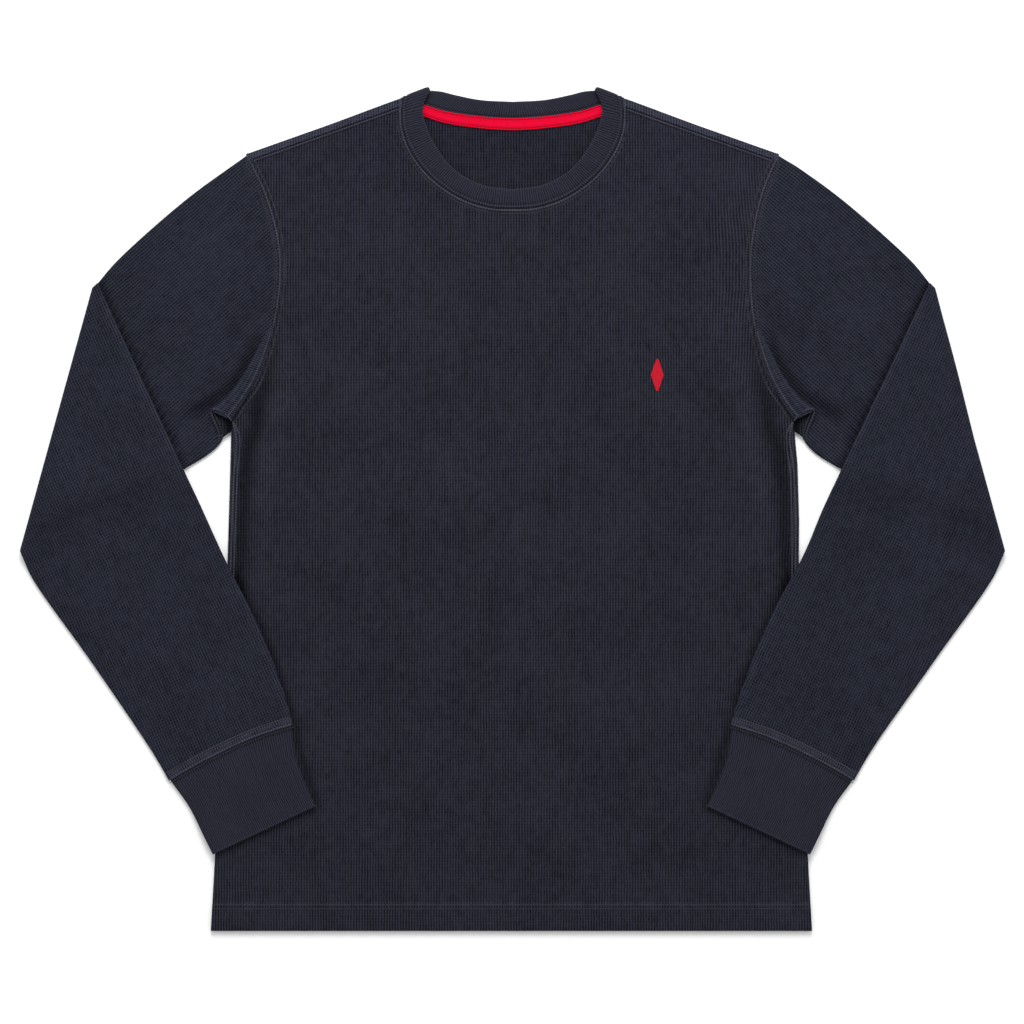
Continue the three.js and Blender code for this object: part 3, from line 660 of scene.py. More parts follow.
def shoulder_flange(side):
    """The back panel's strip that rolls over the shoulder edge and lies on top, up to the forward seam."""
    start, end = on_side([SHOULDER_OUTER, SHOULDER_INNER], side)
    outward = left_of(end - start) * -side
    share = np.linspace(0.0, 1.0, SHOULDER_COLUMNS + 1)[:, None]
    fold = start + (end - start) * share
    seam = forward_seam(side, share)
    length = np.linalg.norm(seam - fold, axis=1, keepdims=True)
    top = (front_base(fold) + CLOTH)[:, None]
    outer, inner, knit, fade = [], [], [], []
    for angle in np.linspace(0.0, math.pi, FLANGE_TURNS):
        reach = math.sin(angle)
        for wall, radius in ((outer, top / 2), (inner, top / 2 - CLOTH)):
            wall.append(np.hstack([fold + outward * radius * reach, top / 2 - radius * math.cos(angle)]))
        knit.append(fold + outward * top / 2 * reach)
        fade.append(FLANGE_PAINTED_LIGHT[0] * angle / math.pi)
    for part in np.linspace(0.0, 1.0, FLANGE_STRIPS)[1:]:
        strip = fold + (seam - fold) * (1 - SEAM_GAP / length) * part
        base = front_base(strip)
        outer.append(with_height(strip, base + CLOTH + np.interp(part, FLANGE_SHARES, FLANGE_HEIGHTS)))
        inner.append(with_height(strip, base))
        knit.append(strip)
        fade.append(np.interp(part, FLANGE_SHARES, FLANGE_PAINTED_LIGHT))
    return np.stack(outer), np.stack(knit), np.stack(inner), np.array(fade)[:, None]


# The back panel shows only inside the neck opening, where its colour is painted darker as shade by this
# share
INSIDE_PAINTED_SHADE = -0.16


def back_panel_mesh():
    neck = across_garment(NECK_BACK)(NECK_SHARES)
    corners = on_side([SHOULDER_OUTER, SHOULDER_INNER], -1)
    lower, left = lower_panel()
    upper = upper_panel(top_edge_of(corners[0], corners[1], neck), 0.0)
    cloth = Cloth()
    for plan, share in ((lower, left), (upper, np.ones(upper.shape[:2]))):
        top = CLOTH + hem_extra(plan[..., 1])
        cloth.add(with_height(plan, top * (1.0 - share)), plan, with_height(plan, top), INSIDE_PAINTED_SHADE)
    for side, _ in SIDES:
        cloth.add(*shoulder_flange(side))
    return cloth.mesh("waffle_back"), plan_area([lower, upper])


# Sleeves

TUBE_TURN = 7


def tube_loop(flat):
    """Shares, edge insets and levels round a flattened tube: over the top, round an edge, back and round.
    An inset below nought marks a point of the flat layers."""
    edge = np.radians(np.linspace(90.0, -90.0, TUBE_TURN))
    on_flat, on_edge = np.full(len(flat), -1.0), 1 - np.cos(edge)
    falling, rising = (1 + np.sin(edge)) / 2, (1 + np.sin(edge[::-1])) / 2
    share = np.concatenate([flat, np.ones(TUBE_TURN), flat[::-1], np.zeros(TUBE_TURN), flat[:1]])
    inset = np.concatenate([on_flat, on_edge, on_flat, on_edge, on_flat[:1]])
    level = np.concatenate([np.ones(len(flat)), falling, np.zeros(len(flat)), rising, [1.0]])
    return share, inset, level


def tube_shares(share, inset, radius, reach, width):
    """Shares across at a wall that lies reach from the middle of a tube's rounded edge."""
    inside = (radius - reach + reach * inset) / width
    return np.where(inset < 0, share, np.where(share > 0.5, 1 - inside, inside))


def grain_map(plan, degrees):
    """Knit coordinates of plan points: across the ribs and along them."""
    angle = math.radians(degrees)
    along = np.array([math.cos(angle), math.sin(angle)])
    across = np.array([-along[1], along[0]])
    return np.stack([plan @ across, plan @ along], -1)


def armhole_seam(side):
    return Line(curve(ARMHOLE, side).points + (side * SEAM_GAP, 0.0))


FLAT_SHARES = joined((0.012, 0.6, 34), (0.6, 0.988, 36))
ARM_STATIONS = joined((0.0, 0.01, 4), (0.01, 0.16, 26), (0.16, 0.3, 8), (0.3, 1.0, 24))
FOREARM_STATIONS = joined((0.0, 0.96, 80), (0.96, 1.0, 12))
ROLL_STATIONS = 12
# The sleeve's last few millimetres are pressed over the cuff's seam and painted paler
CUFF_BAND = 7.6
CUFF_BAND_EDGE = 1.2
CUFF_BAND_PALER = 0.2


def arm_plan(side, along, across):
    """Plan points of the upper arm at stations along it and shares across it."""
    seam = armhole_seam(side)
    top = Line(catmull_rom(np.vstack([seam(0.0), on_side(ARM_TOP[1:], side)])))
    under = Line(catmull_rom(np.vstack([seam(1.0), on_side(ARM_UNDER[1:], side)])))
    axis = Line(on_side([ELBOW_TOP, ELBOW_FOOT], side))
    return coons_rows(seam, axis, top, under, along, across, UNDERARM_GRIP)


def forearm_plan(side, along, across):
    axis = Line(on_side([ELBOW_TOP, ELBOW_FOOT], side))
    inner, outer = curve(FOREARM_INNER, side), curve(FOREARM_OUTER, side)
    return coons_rows(axis, curve(CUFF_SEAM, side), inner, outer, along, across)


def coons_rows(near, far, left, right, along, across, grip=1.0):
    """As coons, with shares across that may differ from station to station.
    A higher grip keeps the right edge's pull close to that edge."""
    along_column = along[:, None, None]
    share = across[..., None]
    start, end = near(across), far(across)
    lines = start + (end - start) * along_column
    left_line = near(0.0) + (far(0.0) - near(0.0)) * along[:, None]
    right_line = near(1.0) + (far(1.0) - near(1.0)) * along[:, None]
    left_pull = (left(along) - left_line)[:, None]
    right_pull = (right(along) - right_line)[:, None]
    return lines + (1 - share) * left_pull + share**grip * right_pull


def tube_walls(plan_of, stations, widths, thick, cloth_thick, flat=FLAT_SHARES):
    """Outer and inner plan points and levels of a flattened tube's stations."""
    share, inset, level = tube_loop(flat)
    radius = thick / 2
    walls = []
    for reach in (radius, radius - cloth_thick):
        across = np.stack([tube_shares(share, inset, radius, reach, width) for width in widths])
        plan = plan_of(stations, across)
        height = np.broadcast_to(radius + reach * (2 * level - 1), plan.shape[:2])
        walls.append((plan, height, across))
    return walls


def widths_between(left, right, along):
    return np.linalg.norm(left(along) - right(along), axis=-1)


def arm_height(side, plan, height):
    """Heights of the upper arm with the creases of its upper layer, and their painted shade and highlight.
    """
    soft, fade = relief(ARM_CREASES, side, plan)
    return height + soft * smooth((height / TUBE_THICK - 0.5) / 0.5), fade


def forearm_height(side, plan, height):
    """As for the arm, but the forearm lies turned over, with its foot on top."""
    soft, fade = relief(FOREARM_CREASES, side, plan)
    soft = soft * smooth((0.5 - height / TUBE_THICK) / 0.5)
    return forearm_base(plan) + TUBE_THICK - height + soft, fade


def roll_points(side, across, height, angle):
    """Points of the elbow fold at a turn of the roll."""
    top, foot = on_side([ELBOW_TOP, ELBOW_FOOT], side)
    axis = foot - top
    length = np.linalg.norm(axis)
    outward = left_of(axis) * side
    sine, cosine = math.sin(angle), math.cos(angle)
    top_corner = ELBOW_TOP_CORNER * sine / length
    foot_corner = ELBOW_FOOT_CORNER * sine / length
    share = top_corner + (1 - top_corner - foot_corner) * across
    radius = ELBOW_AXIS_Z - height
    plan = top + axis * share[..., None] + outward * (radius * sine)[..., None]
    return with_height(plan, ELBOW_AXIS_Z - radius * cosine)


def sleeve_mesh(side, name):
    """A sleeve as one tube: the upper arm, the fold at the elbow and the forearm over it."""
    arm_left = Line(catmull_rom(on_side(ARM_TOP, side)))
    arm_right = Line(catmull_rom(on_side(ARM_UNDER, side)))
    arm_widths = widths_between(arm_left, arm_right, ARM_STATIONS)
    fore_inner, fore_outer = curve(FOREARM_INNER, side), curve(FOREARM_OUTER, side)
    fore_widths = widths_between(fore_inner, fore_outer, FOREARM_STATIONS)
    plan_arm, plan_forearm = partial(arm_plan, side), partial(forearm_plan, side)
    arm = tube_walls(plan_arm, ARM_STATIONS, arm_widths, TUBE_THICK, CLOTH)
    fore = tube_walls(plan_forearm, FOREARM_STATIONS, fore_widths, TUBE_THICK, CLOTH)
    axis_length = np.linalg.norm(np.subtract(ELBOW_TOP, ELBOW_FOOT))
    share, inset, level = tube_loop(FLAT_SHARES)
    turns = np.linspace(0.0, math.pi, ROLL_STATIONS + 1)[1:-1]
    to_cuff = (1.0 - FOREARM_STATIONS[:, None]) * fore_inner.length
    pale_band = CUFF_BAND_PALER * smooth((CUFF_BAND - to_cuff) / CUFF_BAND_EDGE)
    half_roll = ROLL_STATIONS // 2
    radius = TUBE_THICK / 2
    layers = []
    for wall in (0, 1):
        reach = radius - wall * CLOTH
        across = tube_shares(share, inset, radius, reach, axis_length)
        height = radius + reach * (2 * level - 1)
        rolled = np.stack([roll_points(side, across, height, angle) for angle in turns])
        arm_top, arm_painted_light = arm_height(side, *arm[wall][:2])
        fore_top, fore_painted_light = forearm_height(side, *fore[wall][:2])
        arm_points = with_height(arm[wall][0], arm_top)
        fore_points = with_height(fore[wall][0], fore_top)
        unpainted = np.zeros(rolled.shape[:2])
        upper = np.vstack([arm_points, rolled[:half_roll]]), np.vstack([arm_painted_light, unpainted[:half_roll]])
        lower = (
            np.vstack([rolled[half_roll - 1 :], fore_points]),
            np.vstack([unpainted[half_roll - 1 :], fore_painted_light + pale_band]),
        )
        layers.append((upper, lower))
    cloth = Cloth()
    for part, grain in ((0, ARM_GRAIN), (1, FOREARM_GRAIN)):
        outer, fade = layers[0][part]
        degrees = grain if side > 0 else 180.0 - grain
        cloth.add(outer, grain_map(outer[..., :2], degrees), layers[1][part][0], fade)
    half = len(share) // 2
    area = 2 * plan_area([arm[0][0][:, :half], fore[0][0][:, :half]])
    return cloth.mesh(name), area


# Underarm tucks

# The fold's seam side and its free edge as (out, y) runs, and how high it stands
TUCK_SEAM = rows((208.0, 160.0), (212.5, 141.0), (221.5, 114.5), (233.0, 94.0), (243.9, 77.2))
TUCK_EDGE = rows(
    (210.5, 161.0), (222.5, 138.5), (235.0, 116.0), (247.5, 99.5), (257.5, 91.0), (262.0, 87.6),
    (262.6, 85.8),
)
TUCK_RISE = ((0.0, 0.6), (0.15, 1.5), (0.4, 2.6), (0.75, 3.4), (0.95, 3.9), (1.0, 3.6))
TUCK_STATIONS = 90
TUCK_TURN = 18
TUCK_CRIMP = 0.1
TUCK_CRIMP_TURNS = (71.0, 23.0)
TUCK_CRIMP_START = 0.6
TUCK_ROUND = 0.35
TUCK_MOST_DRAWN = 0.3
TUCK_INSIDE_RISE = 0.55
TUCK_WALL = 0.7 * CLOTH
TUCK_FINER = 1.25
# Painted light over the fold's width: painted shade where it dips to the sleeve and to the body, and a
# painted highlight between
TUCK_PAINTED_HIGHLIGHT = 0.22
TUCK_OUTER_SHADE = 0.7
TUCK_OUTER_WIDTH = 0.14
TUCK_SEAM_SHADE = 0.35
TUCK_SEAM_WIDTH = 0.16
# The opening at the fold's lower end: the lip over it, the cloth that turns under, and the hollow between
TUCK_LIP = rows((261.8, 87.0), (256.4, 87.0), (251.0, 84.2), (246.2, 79.8), (244.0, 76.8))
TUCK_UNDER = rows((262.4, 86.0), (261.0, 80.5), (258.4, 74.4), (255.9, 68.3), (254.9, 62.2), (255.8, 57.6))
TUCK_INNER = rows((259.6, 84.4), (257.1, 78.7), (254.5, 72.6), (252.7, 66.6), (253.0, 61.8))
HOLLOW_RIGHT = rows((246.0, 80.5), (244.3, 76.8), (243.6, 71.5), (245.2, 67.6))
HOLLOW_STEPS = (14, 8)
HOLLOW_THICK = 1.6
HOLLOW_RISE = 0.25
HOLLOW_WIDTH = 0.01
HOLLOW_PAINTED_SHADE = -0.35
HOLLOW_DEEPER_SHADE = -0.5
# Shares across and along the hollow between which its painted shade turns darkest
HOLLOW_ACROSS = (0.3, 0.65)
HOLLOW_ALONG = (0.05, 0.25)


def tuck_surface(side, along, share, rise_share=1.0, inside=0.0):
    """Points over the fold at shares along and across it, with its height shrunk and its sides drawn in."""
    seam, edge = curve(TUCK_SEAM, side)(along), curve(TUCK_EDGE, side)(along)
    rise = np.interp(along, *np.array(TUCK_RISE).T)
    fine, slow = TUCK_CRIMP_TURNS
    rise = rise * (1 + TUCK_CRIMP * np.sin(along * fine) * np.sin(along * slow + TUCK_CRIMP_START))
    lifted = (4 * share * (1 - share)).clip(0.0) ** TUCK_ROUND
    drawn = np.clip(inside / np.linalg.norm(edge - seam, axis=1), 0.0, TUCK_MOST_DRAWN)[:, None]
    place = drawn + share * (1 - 2 * drawn)
    plan = seam[:, None] + (edge - seam)[:, None] * place[..., None]
    return with_height(plan, TUBE_THICK + rise_share * rise[:, None] * lifted)


def tuck_mesh(side, name):
    """A fold of sleeve cloth that stands hollow beside the lower armhole and opens at its lower end."""
    along = np.linspace(0.0, 1.0, TUCK_STATIONS)
    turn = np.linspace(0.0, 1.0, TUCK_TURN + 1)
    share = np.broadcast_to((1 - np.cos(np.pi * turn)) / 2, (TUCK_STATIONS, TUCK_TURN + 1))
    outer = tuck_surface(side, along, share)
    inner = tuck_surface(side, along, share, rise_share=TUCK_INSIDE_RISE, inside=TUCK_WALL)
    arc = np.linalg.norm(np.diff(outer, axis=1), axis=2).sum(1).mean()
    run = along * curve(TUCK_SEAM, side).length
    knit = pairs(run[:, None] * TUCK_FINER, turn[None] * arc)
    at_edge = smooth((turn - 1.0 + TUCK_OUTER_WIDTH) / TUCK_OUTER_WIDTH)
    at_seam = smooth((TUCK_SEAM_WIDTH - turn) / TUCK_SEAM_WIDTH)
    fade = TUCK_PAINTED_HIGHLIGHT - TUCK_OUTER_SHADE * at_edge - TUCK_SEAM_SHADE * at_seam
    return mesh_of_grid(name, outer, knit, inner, fade), (run[-1] * MM, float(arc) * MM)


def hollow_mesh(side, name):
    """The cloth deep in the fold's opening, which closes the gap between sleeve and body, painted dark as
    the shade in the opening.
    """
    along, across = (np.linspace(0.0, 1.0, steps) for steps in HOLLOW_STEPS)
    left, right = curve(TUCK_INNER, side)(along), curve(HOLLOW_RIGHT, side)(along)
    plan = left[:, None] + (right - left)[:, None] * across[None, :, None]
    top = np.full(plan.shape[:2], TUBE_THICK + HOLLOW_RISE)
    under_lip = smooth((across[None] - HOLLOW_ACROSS[0]) / (HOLLOW_ACROSS[1] - HOLLOW_ACROSS[0]))
    near_top = smooth((HOLLOW_ALONG[1] - along[:, None]) / (HOLLOW_ALONG[1] - HOLLOW_ALONG[0]))
    fade = HOLLOW_PAINTED_SHADE + HOLLOW_DEEPER_SHADE * np.maximum(under_lip, near_top)
    outer, inner = with_height(plan, top), with_height(plan, top - HOLLOW_THICK)
    return mesh_of_grid(name, outer, plan, inner, fade), plan_area([plan])


# Rib knit

CUFF_RIBS = 56
RIB_PITCH = 2.0
RIB_DEPTH = 0.22
CUFF_STATIONS = joined((0.0, 0.08, 9), (0.08, 0.93, 14), (0.93, 1.0, 12))
CUFF_SEAM_STEPS = 80
CUFF_FACE = 1.2
CUFF_RIBS_END = 1.2
# Painted light on the cuff: paler over its last millimetres as painted highlight on the rounded end, and
# darker over the first as painted shade below the seam, each with a soft edge
CUFF_END_PAINTED_HIGHLIGHT = 0.35
CUFF_END_REACH = (2.5, 1.5)
CUFF_SEAM_PAINTED_SHADE = -0.35
CUFF_SEAM_REACH = (3.2, 1.4)
BAND_RIBS_FRONT = 140
BAND_RIBS_BACK = 86
RIB_STEPS = 4


def rib_wave(phase):
    """A rib's section: a broad round crest and a narrow furrow."""
    return 1.0 - np.abs(np.sin(np.pi * (phase + 0.5))) ** 3


def cuff_mesh(side, name):
    """A doubled cuff as a flattened tube, ribbed outside and rounded at its free end."""
    seam = curve(CUFF_SEAM, side)
    end = on_side([CUFF_INNER[-1], CUFF_OUTER[-1]], side)
    drop = end.mean(0) - seam(0.5)
    drop = drop / np.linalg.norm(drop) * SEAM_GAP
    inset = CUFF_INSET / np.linalg.norm(seam(1.0) - seam(0.0))
    near = Line(seam(np.linspace(inset, 1 - inset, CUFF_SEAM_STEPS)) + drop)
    inner_edge = Line(catmull_rom(np.vstack([near(0.0), on_side(CUFF_INNER, side)])))
    outer_edge = Line(catmull_rom(np.vstack([near(1.0), on_side(CUFF_OUTER, side)])))
    flat = np.linspace(0.02, 0.98, CUFF_RIBS * RIB_STEPS + 1)
    widths = widths_between(inner_edge, outer_edge, CUFF_STATIONS)
    plan_cuff = partial(coons_rows, near, Line(end), inner_edge, outer_edge)
    walls = tube_walls(plan_cuff, CUFF_STATIONS, widths, CUFF_THICK, CUFF_CLOTH, flat)
    (plan, height, across), (inner_plan, inner_height, _) = walls
    length = inner_edge.length
    to_end = (1.0 - CUFF_STATIONS)[:, None] * length
    fold = edge_share(to_end)
    ribs = RIB_DEPTH * rib_wave(across * CUFF_RIBS) * smooth(to_end / CUFF_RIBS_END)
    middle = (height + inner_height) / 2
    sign = np.sign(height - inner_height)
    on_face = np.abs(height - CUFF_THICK / 2) > CUFF_FACE
    outer_height = middle + (height - middle) * fold - sign * (RIB_DEPTH - ribs) * on_face
    inner_height = middle + (inner_height - middle) * fold + forearm_base(inner_plan)
    base = forearm_base(plan)
    down = np.repeat((CUFF_STATIONS * length)[:, None], across.shape[1], 1)
    at_end = smooth((down - length + CUFF_END_REACH[0]) / CUFF_END_REACH[1])
    at_seam = 1 - smooth((down - CUFF_SEAM_REACH[0]) / CUFF_SEAM_REACH[1])
    fade = CUFF_END_PAINTED_HIGHLIGHT * at_end + CUFF_SEAM_PAINTED_SHADE * at_seam
    knit = pairs(across * CUFF_RIBS * RIB_PITCH, down)
    outer, inner = with_height(plan, base + outer_height), with_height(inner_plan, inner_height)
    half = plan.shape[1] // 2
    return mesh_of_grid(name, outer, knit, inner, fade), 2 * plan_area([plan[:, :half]])


class BandPoint(NamedTuple):
    """A point of the neckband's section, by its share of the width and its level between the faces."""

    share: float
    level: float


# From the seam's edge over a round ridge, a ditch and the ribbed width to the free edge
BAND_TOP = tuple(BandPoint(*point) for point in (
    (0.0, 0.2), (0.02, 0.25), (0.05, 0.35), (0.07, 0.6), (0.09, 0.88), (0.112, 0.95), (0.14, 0.86),
    (0.165, 0.62), (0.195, 0.5), (0.22, 0.62), (0.245, 0.86), (0.28, 0.97), (0.4, 1.03), (0.55, 1.05),
    (0.7, 1.03), (0.82, 0.98), (0.9, 0.9), (0.95, 0.75), (0.985, 0.45), (1.0, 0.0),
))
BAND_RIDGE = 1.9
# Painted light across the band's section: painted shade at the seam's edge and in the ditch, painted
# highlight on the round ridge and at the free edge
BAND_SHADE_SHARES = (0.0, 0.05, 0.08, 0.11, 0.14, 0.19, 0.23, 0.28, 0.92, 0.97, 1.0)
BAND_SHADES = (-0.15, -0.1, 0.05, 0.3, 0.1, -0.2, -0.05, 0.0, 0.0, 0.25, 0.3)
BAND_DITCH = 0.2
# Shares of the width over which the ribs rise from the ditch and sink again at the free edge
RIBS_RISE = 0.04
RIBS_SINK = 0.05
BAND_HIGH = CLOTH + GAP + BAND_THICK / 2 + BAND_RISE
# Share of the front at which the band starts to sink from the stacked seams, and the share it takes
BAND_SINK = (0.35, 0.55)
# The side fold: its turns, how much further its free edge stands out than its seam, and its drawn-in corner
FOLD_TURNS = 5
FOLD_FREE_SHIFT = 1.35
FOLD_CORNER = 0.2
# Steps of the search for the ribs' square direction, and the share at the fold over which it is given up
SQUARE_KNOTS = 25
SQUARE_STEPS = 3000
SQUARE_END = 0.12
BAND_STEPS = 60


def band_front_shares():
    return np.linspace(0.0, 1.0, BAND_RIBS_FRONT // 2 * RIB_STEPS + 1)


def band_front_height(share):
    """Height of the band's middle in front: it rises over the stacked seams towards the side fold."""
    return BAND_HIGH - BAND_RISE * (1 - smooth((share - BAND_SINK[0]) / BAND_SINK[1]))


def band_line(distance, level, reach):
    """A line on the front of the band at a distance from its seam, from the left side to the right side."""
    share = band_front_shares()
    share = share[share <= reach]
    seam, free, _, _, _ = band_half()
    seam, free = seam[: len(share)], free[: len(share)]
    width = np.linalg.norm(free - seam, axis=1, keepdims=True)
    height = band_front_height(share) + BAND_THICK / 2 * level
    right = with_height(seam + (free - seam) * distance / width, height)
    return np.vstack([right[::-1] * (-1, 1, 1), right[1:]])


def square_shares(seam, free, share):
    """Shares along the free edge that lie square across the band from shares along its seam."""
    knots = np.linspace(0.0, 1.0, SQUARE_KNOTS)
    fine = np.linspace(0.0, 1.0, SQUARE_STEPS)
    distance = np.linalg.norm(seam(knots)[:, None] - free(fine)[None], axis=-1)
    nearest = np.maximum.accumulate(fine[distance.argmin(axis=1)])
    held = smooth((1.0 - knots) / SQUARE_END)
    return np.interp(share, knots, knots + (nearest - knots) * held)


def band_half():
    """Sections of the right half of the neckband, from the centre front over the side fold to the back:
    seam and free points, heights, tilts and the plan direction out of the fold."""
    front = across_garment(NECK_FRONT)(np.linspace(0.5, 1.0, BAND_STEPS))
    back = across_garment(NECK_BACK)(np.linspace(1.0, 0.5, BAND_STEPS))
    fold_seam, fold_free = on_side([FOLD_SEAM, FOLD_FREE], 1)
    front_seam = Line(np.vstack([front, fold_seam]))
    back_seam = Line(np.vstack([fold_seam, back[1:]]))
    free_front = curve(BAND_FREE_FRONT, 1)
    run = fold_free - fold_seam
    outward = -left_of(run)
    low, high = BAND_THICK / 2, BAND_HIGH
    middle, radius = (high + low) / 2, (high - low) / 2
    share = band_front_shares()
    turns = np.linspace(0.0, math.pi, FOLD_TURNS * RIB_STEPS + 1)[1:-1]
    shift = outward * (radius * np.sin(turns))[:, None]
    drawn_in = run / np.linalg.norm(run) * FOLD_CORNER * np.sin(turns)[:, None]
    back_share = np.linspace(0.0, 1.0, BAND_RIBS_BACK // 2 * RIB_STEPS + 1)
    flat = np.ones(len(back_share))
    parts = (
        (front_seam(share), fold_seam + shift, back_seam(back_share)),
        (
            free_front(square_shares(front_seam, free_front, share)),
            fold_free + shift * FOLD_FREE_SHIFT - drawn_in,
            curve(BAND_FREE_BACK, 1)(back_share),
        ),
        (band_front_height(share), middle + radius * np.cos(turns), low * flat),
        (np.zeros(len(share)), turns, math.pi * flat),
    )
    return *(np.concatenate(part) for part in parts), outward


def neckband_mesh():
    """The neckband as one closed, ribbed ring."""
    seam, free, z, tilt, outward = band_half()
    outline = np.array(BAND_TOP)
    outline = np.vstack([outline, outline[::-1][1:] * (1, -1)])
    phase = np.arange(len(seam)) / RIB_STEPS
    rib = rib_wave(phase)[:, None]
    width = np.linalg.norm(free - seam, axis=1)[:, None]
    start = SEAM_GAP / width
    share = start + outline[None, :, 0] * (1 - start)
    half = BAND_THICK / 2
    ribbed = smooth((outline[:, 0] - BAND_DITCH) / RIBS_RISE) * smooth((1.0 - outline[:, 0]) / RIBS_SINK)
    level = outline[None, :, 1] * (half - RIB_DEPTH * (1 - rib) * ribbed)
    face = np.concatenate([outward * np.sin(tilt)[:, None], np.cos(tilt)[:, None]], 1)
    plan = seam[:, None] + (free - seam)[:, None] * share[..., None]
    middle = with_height(plan, np.repeat(z[:, None], len(outline), 1))
    points = middle + face[:, None] * level[..., None]
    shade = np.interp(outline[:, 0], BAND_SHADE_SHARES, BAND_SHADES)
    ring = np.concatenate([points, points[::-1][1:] * (-1, 1, 1)])
    knit_u = np.concatenate([phase, 2 * phase[-1] - phase[::-1][1:]]) * RIB_PITCH
    knit = pairs(knit_u[:, None], outline[None, :, 0] * width.mean())
    closed = np.concatenate([ring, ring[:, :1]], 1)
    knit = np.concatenate([knit, knit[:, -1:] + (0, 0.1)], 1)
    mesh = mesh_of_grid("rib_neckband", closed, knit, fade=np.append(shade, shade[0]))
    lengths = np.linalg.norm(np.diff((seam + free) / 2, axis=0), axis=1)
    return mesh, (2 * lengths.sum() * MM, float(width.mean()) * MM)


# Neck tape

TAPE_END = 0.05
TAPE_ABOVE = 2.0
TAPE_BELOW = 8.3
# Across the tape from its upper edge: how far up from the neck seam, and its thickness as a share
TAPE_SECTION = (
    (TAPE_ABOVE, 0.35),
    (TAPE_ABOVE - 0.25, 0.85),
    (TAPE_ABOVE - 0.9, 0.95),
    (TAPE_ABOVE - 1.25, 0.62),
    (TAPE_ABOVE - 1.6, 0.62),
    (TAPE_ABOVE - 2.0, 0.95),
    (-2.0, 1.1),
    (-4.2, 1.1),
    (-6.3, 0.95),
    (-6.7, 0.62),
    (-7.05, 0.62),
    (-7.4, 0.9),
    (-TAPE_BELOW + 0.25, 0.8),
    (-TAPE_BELOW, 0.35),
)
TAPE_STEPS = 120
# Where the tape comes down off the band's edge, and how far that takes
TAPE_DROP = (-3.4, 3.0)
# Where the tape is thinner than this, at its rows of stitches, its colour is painted darker as shade
TAPE_GROOVE = 0.7
TAPE_GROOVE_PAINTED_SHADE = -0.6


def tape_surface(up):
    """The tape's underside: over the band's edge, down its side and along the panel."""
    over = smooth((up - TAPE_DROP[0]) / TAPE_DROP[1])
    return CLOTH + GAP + (BAND_THICK - CLOTH) * over


def neck_tape_mesh():
    """The tape over the back neck seam, with a groove for each of its rows of stitches, painted darker as
    shade.
    """
    share = np.linspace(TAPE_END, 1 - TAPE_END, TAPE_STEPS)
    neck = across_garment(NECK_BACK)
    seam = neck(share)
    up, thick = np.array(TAPE_SECTION).T
    thick = thick * TAPE_THICK
    plan = pairs(seam[:, None, 0], seam[:, None, 1] + up[None])
    base = np.broadcast_to(tape_surface(up), plan.shape[:2])
    knit = pairs(share[:, None] * neck.length, up[None] + TAPE_BELOW)
    fade = np.where(thick < TAPE_GROOVE, TAPE_GROOVE_PAINTED_SHADE, 0.0)
    outer, inner = with_height(plan, base + thick), with_height(plan, base)
    return mesh_of_grid("red_neck_tape", outer, knit, inner, fade), plan_area([plan])


# Shaders

# The least share of a colour that painted shade leaves
LEAST_COLOUR_UNDER_SHADE = 0.1
COTTON_ROUGHNESS = 0.88
# How far up the body, in metres, its colour starts to turn to the sleeves', and how far that takes
SLEEVE_TINT_START = 0.18
SLEEVE_TINT_REACH = 0.2
SLEEVE_BAR_FACTOR = 1.6
TWILL_PITCH = 0.0009
TAPE_CROWN_SLOPE = 190.0
TAPE_RELIEF = 0.00012
THREAD_RELIEF = 0.00008
THREAD_SHADE = 0.6


